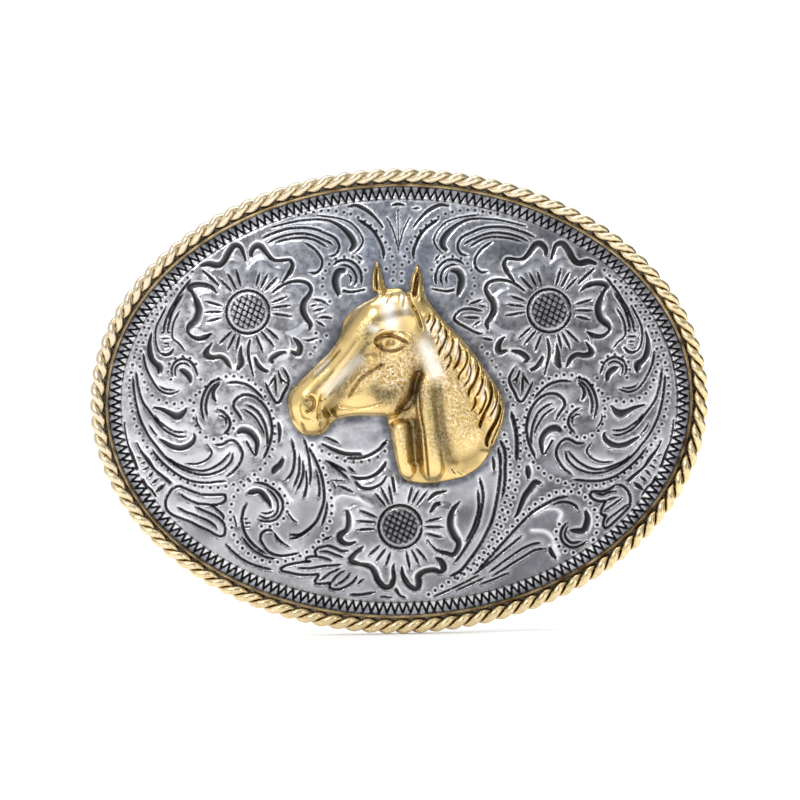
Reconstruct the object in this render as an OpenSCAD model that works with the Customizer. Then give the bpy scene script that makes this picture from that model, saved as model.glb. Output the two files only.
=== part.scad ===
// Oval western trophy buckle: a domed two-layer plate with a twisted wire rim and a horse head
// figure, and on its back a hinged strap loop and a fixed hook peg.
// Shapes are drawn face up (+Z is the front) and then stood upright, so that the finished part
// faces -Y with +X to the viewer's right. z = 0 in the face-up drawing is the hinge axis plane.

/* [Plate] */
// Width of the whole buckle, over the twisted rim
buckle_w = 95; // [79:0.5:114]
// Height of the whole buckle, over the twisted rim
buckle_h = 71.3; // [59.5:0.1:85.5]
// Radius of the dome, at the back plate's rear surface
dome_r = 260; // [215:1:320]
// Thickness of the back plate
back_t = 1.2; // [0.8:0.1:1.6]
// Thickness of the engraved face plate
face_t = 1; // [0.8:0.05:1.3]
// Solder film between plates and what sits on them
solder_gap = 0.05; // [0.02:0.01:0.1]

/* [Rim] */
// Diameter of the twisted wire
rope_d = 2.3; // [1.9:0.1:2.8]
// Diameter of the plain wire inside it
rim_wire_d = 0.5; // [0.4:0.05:0.7]
// How far the twisted wire stands out past the back plate
rope_overhang = 0.6; // [0.4:0.1:0.9]
// Width of the border band that carries the zigzag cuts
border_w = 1.9; // [1.4:0.1:2.4]
// Depth of the border band
border_depth = 0.2; // [0.1:0.05:0.3]

/* [Flowers] */
// Sideways distance of the upper flowers from the middle
flower_x = 23; // [20:0.5:26]
// Height of the upper flowers above the middle
flower_y = 14.2; // [12:0.2:16]
// Depth of the lower flower below the middle
low_flower_y = 19.2; // [17:0.2:22]
// Radius of a flower at the tips of its petals
flower_r = 9.2; // [7:0.2:10]
// Height of the flowers above the plate
flower_rise = 0.35; // [0.2:0.05:0.5]
// Radius of a flower's seed disc
seed_r = 3.4; // [2.6:0.1:4]

/* [Horse head] */
// Width of the figure from nose to mane
figure_w = 33.3; // [28:0.1:40]
// Greatest height of the figure above the plate
figure_rise = 4.4; // [3.6:0.1:5.3]
// Radius of the two posts that hold the figure
post_r = 1.25; // [1:0.05:1.5]
// Radius of the washers under the peened post ends
post_washer_r = 2.3; // [2:0.1:2.8]
// Thickness of those washers
post_washer_t = 0.6; // [0.5:0.1:0.8]

/* [Strap loop] */
// Width of the strap that the loop takes
strap_w = 38; // [32:1:45]
// Room beside the strap, in all
strap_play = 2; // [1:0.5:3]
// Distance of the hinge axis from the buckle's right-hand edge
rim_to_hinge = 31.5; // [27:0.5:37]
// Distance from the hinge axis to the outer bar
loop_reach = 19; // [16:0.5:22]
// Diameter of the loop's wire
loop_d = 3; // [2.5:0.1:3.4]
// Bend radius of the loop's corners, at the wire's middle
loop_bend = 3.5; // [3:0.1:5]
// Radius of the eyes at the loop's ends
eye_r = 2.9; // [2.6:0.1:3.4]
// Radius of the hinge pin
pin_r = 1.6; // [1.3:0.05:1.8]
// Radial clearance of the loop's eyes on the pin
eye_play = 0.06; // [0.03:0.01:0.1]
// Gap between a lug and an eye, and between an eye and a pin head
side_play = 0.25; // [0.15:0.05:0.4]
// Thickness of a pin head
pin_head_t = 1; // [0.8:0.1:1.4]
// Depth of the plate's rear surface in front of the hinge axis, at the buckle's middle
hinge_depth = 5.6; // [5.2:0.1:7]

/* [Hinge lugs] */
// Thickness of a lug's ear
ear_t = 2.6; // [2:0.1:3.2]
// Length of a lug's pad along the pin
pad_l = 8.2; // [7:0.1:9]
// Width of a lug's pad across the pin
pad_w = 10; // [8:0.5:12]
// Least thickness of a pad
pad_t = 0.8; // [0.6:0.1:1.2]
// Radius of the rivets that hold the pads and the hook base
rivet_r = 0.9; // [0.7:0.05:1.1]

/* [Hook] */
// Distance of the hook peg's foot from the buckle's left-hand edge
rim_to_hook = 16.5; // [14:0.5:20]
// Radius of the hook peg
peg_r = 2; // [1.6:0.1:2.4]
// Length of the peg along its axis
peg_l = 8; // [6.5:0.5:10]
// How far the peg leans towards the strap loop, in degrees from square to its base
peg_lean = 5; // [0:1:12]
// Length of the hook's base plate
base_l = 16; // [14:0.5:20]
// Width of the hook's base plate, and of its round ends
base_w = 8; // [7.5:0.5:10]
// Thickness of the base plate in its middle
base_t = 1.2; // [1:0.1:1.6]

/* [Hidden] */
$fn = 72;

SILVER = [0.72, 0.72, 0.74];
GOLD = [0.85, 0.67, 0.3];
NICKEL = [0.62, 0.61, 0.59];
STEEL = [0.5, 0.5, 0.52];

ellipse_n = 120;              // sides of the oval outlines
ball_n = 512;                 // sides round the dome balls
figure_ball_n = 160;          // and round the coarser ones under the figure
ring_n = 96;                  // rings along the two rim wires
fit = 0.05;                   // radial clearance of rivets and posts in their holes
rivet_head_r = 1.7 * rivet_r;
rivet_head_t = 0.7 * rivet_r;
peen = 0.5;                   // height and spread of a post's peened end
cut = 20;                     // longer than anything it has to cut through

// Radii of the concentric dome surfaces, from the back forward
back_front_r = dome_r + back_t;
face_rear_r = back_front_r + solder_gap;
face_front_r = face_rear_r + face_t;
dome_z = hinge_depth - dome_r;   // height of the domes' common centre

// Outlines, as [half width, half height]
outer = [buckle_w, buckle_h] / 2;
back_size = outer - [rope_overhang, rope_overhang];
rope_size = outer - [rope_d, rope_d] / 2;
face_size = outer - [rope_d, rope_d] - [solder_gap, solder_gap];
wire_size = face_size - [rim_wire_d, rim_wire_d] / 2;
border_out = face_size - [rim_wire_d, rim_wire_d];
border_in = border_out - [border_w, border_w];

// Hinge
hinge_x = outer.x - rim_to_hinge;
arm_y = (strap_w + strap_play + loop_d) / 2;
eye_in = arm_y - loop_d / 2;
ear_out = eye_in - side_play;
ear_in = ear_out - ear_t;
pad_in = ear_out - pad_l;
pin_half = arm_y + loop_d / 2 + side_play;
pin_head_r = min(eye_r, pin_r + 1);
pad_z = dome_height(hinge_x + pad_w / 2, ear_out, dome_r) - pad_t;
lug_rivet_y = (pad_in + ear_in) / 2;
lug_rivet_dx = pad_w / 2 - rivet_head_r - 0.5;

// Hook
hook_x = rim_to_hook - outer.x;
base_gap = solder_gap + pow(base_l / 2, 2) / (2 * dome_r);   // a flat base under a hollow
hook_rivet_y = base_l / 2 - rivet_head_r - 0.6;
peg_foot_r = min(peg_r + 0.9, hook_rivet_y - rivet_head_r - 0.2);
peg_foot_t = 0.9;
peg_tenon_r = 0.75 * peg_r;
peg_root = 0.5;               // spread of the peg's cone at its foot
peg_root_l = 1.3;             // length of that cone

// Figure
figure_scale = figure_w / 33.3;
post_places = [[-11.5, 1.2], [6, -4.5]] * figure_scale;
head_outline = [
    [-3.2, 16.2], [-3.8, 16.8], [-4, 18], [-3.8, 19.5], [-3.05, 21.6], [-2.5, 20.6],
    [-2.1, 19], [-1.6, 17.4], [-0.9, 17.2], [0, 17.3], [0.9, 17], [1.6, 16.7], [1.9, 18.3],
    [2.4, 19.6], [3.1, 20.9], [3.7, 19.9], [4.1, 18.4], [4.3, 16.6], [5, 15.1], [7, 12.5],
    [9.8, 9.5], [12, 6.7], [14.3, 3.2], [15.5, 1.2], [16.2, -0.8], [16.1, -2.8],
    [15.6, -4.7], [14.6, -6.7], [13.4, -8.7], [12, -10.4], [10, -11.6], [8, -12.2],
    [5, -12.7], [2.6, -12.6], [0.9, -12.2], [0, -11.5], [-0.6, -10], [-1, -8],
    [-1.4, -5.8], [-1.7, -3.9], [-2.1, -2.7], [-3.6, -2.4], [-6.5, -2.3], [-8.9, -2.6],
    [-10.1, -3.1], [-10.8, -4], [-11.6, -4.8], [-13, -5.1], [-14.6, -4.9], [-15.7, -4.1],
    [-16.6, -2.7], [-17, -1], [-17.1, 0.6], [-16.6, 1.9], [-15.6, 2.9], [-14.2, 4.2],
    [-12.3, 6], [-10.6, 7.7], [-9.5, 9.3], [-8.8, 10.8], [-8.3, 12.4], [-7.2, 13.7],
    [-5.6, 14.9]
];
// The figure's relief as runs of balls: [x, y, radius, height], the height as a share of the rise
head_runs = [
    [[-13.6, -0.8, 3.8, 0.72], [-13, -2, 3.2, 0.66]],
    [[-13.4, 0.4, 3.6, 0.7], [-9.3, 4.2, 3.6, 0.74]],
    [[-9.3, 4.2, 3.6, 0.74], [-4.6, 10.4, 4.6, 0.88]],
    [[-4.6, 10.4, 4.6, 0.88], [-2, 12.6, 4.4, 0.9], [2, 13.2, 3.8, 0.8]],
    [[-4, 4, 5, 0.96], [-1.6, 2.2, 4.6, 1], [0, 7.5, 4, 0.9]],
    [[-10, 1, 3.4, 0.6], [-4, 1.6, 4.2, 0.84]],
    [[2.5, 12.5, 4, 0.8], [5.5, 6, 6, 0.82], [8, -1, 7.5, 0.9]],
    [[8, -1, 7.5, 0.9], [7, -6.5, 7, 0.86], [3, -7.5, 5, 0.76]],
    [[5.2, 13, 2.2, 0.66], [8.6, 8.6, 2.6, 0.74], [12.6, 2.8, 2.8, 0.76]],
    [[12.6, 2.8, 2.8, 0.76], [14, -1.8, 2.4, 0.72], [12.8, -6, 2.4, 0.66]],
    [[-3.1, 16.2, 1.4, 0.66], [-3, 20.6, 0.9, 0.45]],
    [[2.9, 15.5, 1.6, 0.7], [3, 19.8, 0.9, 0.48]]
];
figure_base = 1.3;            // height of the figure's upright edge
figure_clear = 1.015;         // how much wider the flower is cut away round the figure
head_fn = 20;                 // facets round each ball of the relief

// Height of a dome surface of radius r above the hinge plane
function dome_height(x, y, r) = dome_z + sqrt(r * r - x * x - y * y);

// Points of an ellipse with half axes s
function oval(s, n = ellipse_n) = [for (i = [0:n - 1]) [s.x * cos(360 * i / n), s.y * sin(360 * i / n)]];

// Points of a flower: six petals, each a broad lobe with a dip in its end
function petals(r) = [for (a = [0:5:355]) let (w = abs(cos(3 * a)))
    (r * (0.68 + 0.32 * pow(w, 0.5) - 0.1 * pow(w, 12))) * [cos(a), sin(a)]];

module stand_up() rotate([90, 0, 0]) children();

module dome_ball(r) translate([0, 0, dome_z]) sphere(r = r, $fn = ball_n);

// A sheet between two dome radii, cut to an oval
module domed_sheet(size, r_in, r_out) {
    intersection() {
        translate([0, 0, dome_height(0, 0, r_in) - cut]) linear_extrude(2 * cut) polygon(oval(size));
        difference() {
            dome_ball(r_out);
            dome_ball(r_in);
        }
    }
}

// A wire of radius r on the oval size, its middle a distance up along the dome of radius dome
module oval_wire(size, r, dome, up, sides) {
    path = [for (p = oval(size, ring_n)) [p.x, p.y, dome_height(p.x, p.y, dome) + up]];
    points = [for (i = [0:ring_n - 1])
        let (a = 360 * i / ring_n,
             out = [size.y * cos(a), size.x * sin(a), 0],
             n = out / norm(out))
        for (j = [0:sides - 1]) path[i] + r * (cos(360 * j / sides) * n + [0, 0, sin(360 * j / sides)])];
    faces = [for (i = [0:ring_n - 1]) for (j = [0:sides - 1])
        let (i2 = (i + 1) % ring_n, j2 = (j + 1) % sides)
        each [[i * sides + j, i * sides + j2, i2 * sides + j2],
              [i * sides + j, i2 * sides + j2, i2 * sides + j]]];
    polyhedron(points, faces);
}

module rivet_places() {
    for (side = [-1, 1], dx = [-1, 1])
        translate([hinge_x + dx * lug_rivet_dx, side * lug_rivet_y, 0]) children();
}

// Places things on the dome surface of radius r at p, square to it
module on_dome(p, r) {
    turn = atan2(p.y, p.x);
    translate([0, 0, dome_z]) rotate([0, 0, turn]) rotate([0, asin(norm(p) / r), 0]) rotate([0, 0, -turn])
        translate([0, 0, r]) children();
}

module at_hook() on_dome([hook_x, 0], dome_r) translate([0, 0, -base_gap]) children();

module hook_rivet_places() {
    for (side = [-1, 1]) translate([0, side * hook_rivet_y, 0]) children();
}

module post_holes() {
    for (p = post_places) on_dome(p, dome_r) cylinder(r = post_r + fit, h = cut, center = true);
}

module back_plate() color(NICKEL) {
    difference() {
        domed_sheet(back_size, dome_r, back_front_r);
        post_holes();
        rivet_places() translate([0, 0, -cut]) cylinder(r = rivet_r + fit, h = 3 * cut);
        at_hook() hook_rivet_places() cylinder(r = rivet_r + fit, h = cut, center = true);
    }
}

// A flower's boss, lying on the dome within the face plate's outline
module flower_boss() {
    linear_extrude(2 * cut) polygon(petals(flower_r));
}

module face_plate() color(SILVER) {
    difference() {
        union() {
            domed_sheet(face_size, face_rear_r, face_front_r);
            intersection() {
                domed_sheet(border_in, face_front_r - face_t / 2, face_front_r + flower_rise);
                union() {
                    for (side = [-1, 1]) translate([side * flower_x, flower_y, 0]) flower_boss();
                    difference() {
                        translate([0, -low_flower_y, 0]) flower_boss();
                        linear_extrude(2 * cut) scale(figure_clear * figure_scale) polygon(head_outline);
                    }
                }
            }
            intersection() {
                domed_sheet(border_in, face_front_r - face_t / 2, face_front_r + 2 * flower_rise);
                union() {
                    for (side = [-1, 1])
                        translate([side * flower_x, flower_y, 0]) cylinder(r = seed_r, h = 2 * cut);
                    translate([0, -low_flower_y, 0]) cylinder(r = seed_r, h = 2 * cut);
                }
            }
        }
        difference() {
            domed_sheet(border_out, face_front_r - border_depth, face_front_r + 1);
            translate([0, 0, -cut]) linear_extrude(3 * cut) polygon(oval(border_in));
        }
        post_holes();
    }
}

module rim_wire() color(GOLD)
    oval_wire(wire_size, rim_wire_d / 2, face_front_r, rim_wire_d / 2 + solder_gap / 2, 8);

module rope_edge() color(GOLD)
    oval_wire(rope_size, rope_d / 2, back_front_r, rope_d / 2 + solder_gap, 12);

// One ball of the relief, with its top at the given height above the face
module relief_ball(b) {
    r = b[2] * figure_scale;
    p = [b[0], b[1]] * figure_scale;
    translate([p.x, p.y, dome_height(p.x, p.y, face_front_r) + b[3] * figure_rise - r])
        sphere(r = r, $fn = head_fn);
}

module horse_head() color(GOLD) {
    difference() {
        intersection() {
            translate([0, 0, hinge_depth]) linear_extrude(cut) scale(figure_scale) polygon(head_outline);
            union() {
                for (run = head_runs) hull() for (b = run) relief_ball(b);
                translate([0, 0, dome_z]) sphere(r = face_front_r + figure_base, $fn = figure_ball_n);
            }
        }
        translate([0, 0, dome_z]) sphere(r = face_front_r + solder_gap, $fn = figure_ball_n);
    }
}

// The two posts under the figure, each with its peened end behind the washer
module head_posts() color(GOLD) {
    intersection() {
        for (p = post_places) on_dome(p, dome_r) translate([0, 0, -post_washer_t - 2 * solder_gap]) {
            cylinder(r = post_r, h = cut);
            translate([0, 0, -peen]) cylinder(r1 = post_r, r2 = post_r + peen, h = peen);
        }
        dome_ball(face_front_r - solder_gap);
    }
}

module post_washers() color(STEEL) {
    for (p = post_places) on_dome(p, dome_r) translate([0, 0, -post_washer_t - solder_gap]) difference() {
        cylinder(r = post_washer_r, h = post_washer_t);
        cylinder(r = post_r + fit, h = cut, center = true);
    }
}

// One hinge lug: a riveted pad that follows the plate's hollow, and a bored ear round the pin
module hinge_lug(side) color(NICKEL) {
    difference() {
        intersection() {
            union() {
                translate([hinge_x - pad_w / 2, side > 0 ? pad_in : -ear_out, pad_z])
                    cube([pad_w, pad_l, cut]);
                translate([hinge_x - eye_r, side > 0 ? ear_in : -ear_out, 0])
                    cube([2 * eye_r, ear_t, cut]);
                translate([hinge_x, side > 0 ? ear_in : -ear_out, 0])
                    rotate([-90, 0, 0]) cylinder(r = eye_r, h = ear_t);
            }
            dome_ball(dome_r - solder_gap);
        }
        translate([hinge_x, -cut * 2, 0]) rotate([-90, 0, 0]) cylinder(r = pin_r + fit / 2, h = 4 * cut);
        rivet_places() translate([0, 0, -cut]) cylinder(r = rivet_r + fit, h = 3 * cut);
    }
}

module hinge_lug_top() hinge_lug(1);

module hinge_lug_bottom() hinge_lug(-1);

// A rivet with its flat head's seat at z = 0, cut off at the back plate's front surface by its user
module rivet() {
    translate([0, 0, -rivet_head_t]) cylinder(r = rivet_head_r, h = rivet_head_t);
    translate([0, 0, -rivet_head_t]) cylinder(r = rivet_r, h = cut);
}

module lug_rivets() color(STEEL)
    intersection() {
        rivet_places() translate([0, 0, pad_z]) rivet();
        dome_ball(back_front_r);
    }

module hinge_pin() color(STEEL)
    translate([hinge_x, 0, 0]) rotate([90, 0, 0]) {
        cylinder(r = pin_r, h = 2 * pin_half, center = true);
        for (side = [-1, 1])
            translate([0, 0, side * (pin_half + pin_head_t / 2)])
                cylinder(r = pin_head_r, h = pin_head_t, center = true);
    }

// Half of the strap loop: eye, arm, corner and half of the outer bar
module loop_half(side) {
    bar_x = hinge_x + loop_reach;
    difference() {
        union() {
            translate([hinge_x, side * arm_y, 0]) rotate([90, 0, 0])
                cylinder(r = eye_r, h = loop_d, center = true);
            translate([hinge_x + pin_r + 0.4, side * arm_y, 0]) rotate([0, 90, 0])
                cylinder(r = loop_d / 2, h = loop_reach - loop_bend - pin_r - 0.4);
            translate([bar_x - loop_bend, side * (arm_y - loop_bend), 0])
                rotate([0, 0, side > 0 ? 0 : -90])
                    rotate_extrude(angle = 90) translate([loop_bend, 0]) circle(d = loop_d);
            translate([bar_x, 0, 0]) rotate([side > 0 ? -90 : 90, 0, 0])
                cylinder(r = loop_d / 2, h = arm_y - loop_bend);
        }
        translate([hinge_x, side * arm_y, 0]) rotate([90, 0, 0])
            cylinder(r = pin_r + eye_play, h = 2 * loop_d, center = true);
    }
}

module strap_loop() color(NICKEL) {
    loop_half(1);
    loop_half(-1);
}

module hook_base() color(NICKEL) {
    at_hook() difference() {
        translate([0, 0, -base_t]) {
            translate([-base_w / 2, (base_w - base_l) / 2, 0]) cube([base_w, base_l - base_w, base_t]);
            for (side = [-1, 1])
                translate([0, side * (base_l - base_w) / 2, 0]) cylinder(d = base_w, h = base_t);
        }
        cylinder(r = peg_tenon_r + fit, h = cut, center = true);
        hook_rivet_places() cylinder(r = rivet_r + fit, h = cut, center = true);
    }
}

// The hook: a foot and tenon in the base, and a round-ended peg that leans towards the loop
module hook_peg() color(NICKEL) {
    at_hook() translate([0, 0, -base_t]) {
        translate([0, 0, -peg_foot_t]) cylinder(r = peg_foot_r, h = peg_foot_t);
        translate([0, 0, -peg_foot_t]) cylinder(r = peg_tenon_r, h = base_t + peg_foot_t);
        translate([0, 0, -peg_foot_t / 2]) rotate([0, 180 - peg_lean, 0])
            rotate_extrude() polygon(concat([[0, 0], [peg_r + peg_root, 0], [peg_r, peg_root_l]],
                [for (a = [0:15:90]) [peg_r - 1 + cos(a), peg_l - 1 + sin(a)]], [[0, peg_l]]));
    }
}

module hook_rivets() color(STEEL)
    intersection() {
        at_hook() hook_rivet_places() translate([0, 0, -base_t]) rivet();
        dome_ball(back_front_r);
    }

stand_up() back_plate();
stand_up() face_plate();
stand_up() rim_wire();
stand_up() rope_edge();
stand_up() horse_head();
stand_up() head_posts();
stand_up() post_washers();
stand_up() hinge_lug_top();
stand_up() hinge_lug_bottom();
stand_up() lug_rivets();
stand_up() hinge_pin();
stand_up() strap_loop();
stand_up() hook_base();
stand_up() hook_peg();
stand_up() hook_rivets();
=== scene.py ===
import math  # noqa: E402

import bmesh  # noqa: E402
import bpy  # noqa: E402
import numpy as np  # noqa: E402
from mathutils import Matrix, Vector  # noqa: E402
from mathutils.geometry import delaunay_2d_cdt  # noqa: E402


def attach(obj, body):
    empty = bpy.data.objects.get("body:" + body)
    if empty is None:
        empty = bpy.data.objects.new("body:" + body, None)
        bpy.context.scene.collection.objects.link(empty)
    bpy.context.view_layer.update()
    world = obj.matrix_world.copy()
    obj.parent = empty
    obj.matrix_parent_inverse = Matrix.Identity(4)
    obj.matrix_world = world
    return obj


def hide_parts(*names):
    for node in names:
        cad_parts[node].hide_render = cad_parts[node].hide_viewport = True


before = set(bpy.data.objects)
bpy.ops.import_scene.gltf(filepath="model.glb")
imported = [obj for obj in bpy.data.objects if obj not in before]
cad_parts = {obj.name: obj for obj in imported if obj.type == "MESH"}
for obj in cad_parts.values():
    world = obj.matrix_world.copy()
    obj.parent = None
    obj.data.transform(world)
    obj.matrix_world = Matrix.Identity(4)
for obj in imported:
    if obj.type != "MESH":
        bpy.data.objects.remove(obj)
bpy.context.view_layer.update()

bl_info = {
    "name": "Western Trophy Buckle",
    "version": (1, 0, 0),
    "blender": (4, 5, 0),
    "location": "View3D > Sidebar > Buckle",
    "description": "Makes the chased face, twisted rim, horse figure and back fittings of a belt buckle",
    "category": "Object",
}

# Sizes of the metal pieces in mm, as [half width, half height] or radii of the concentric domes
OUTER = np.array([47.5, 35.65])
DOME_Z = -254.4
BACK_REAR, BACK_FRONT, FACE_REAR, FACE_FRONT = 260.0, 261.2, 261.25, 262.25
BACK_SIZE = OUTER - 0.6
ROPE_SIZE = OUTER - 1.15
FACE_SIZE = OUTER - 2.35
LIP_SIZE = FACE_SIZE - 0.25
BORDER_OUT, BORDER_IN = FACE_SIZE - 0.5, FACE_SIZE - 2.4
BORDER_MID = 3.9  # how far inside the outline the middle of the zigzag runs
RIM_POINTS = 560  # mesh points round the face's edge
DISC, PETALS = 3.3, 9.2  # radii of a flower's seed disc and of its petals

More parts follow.
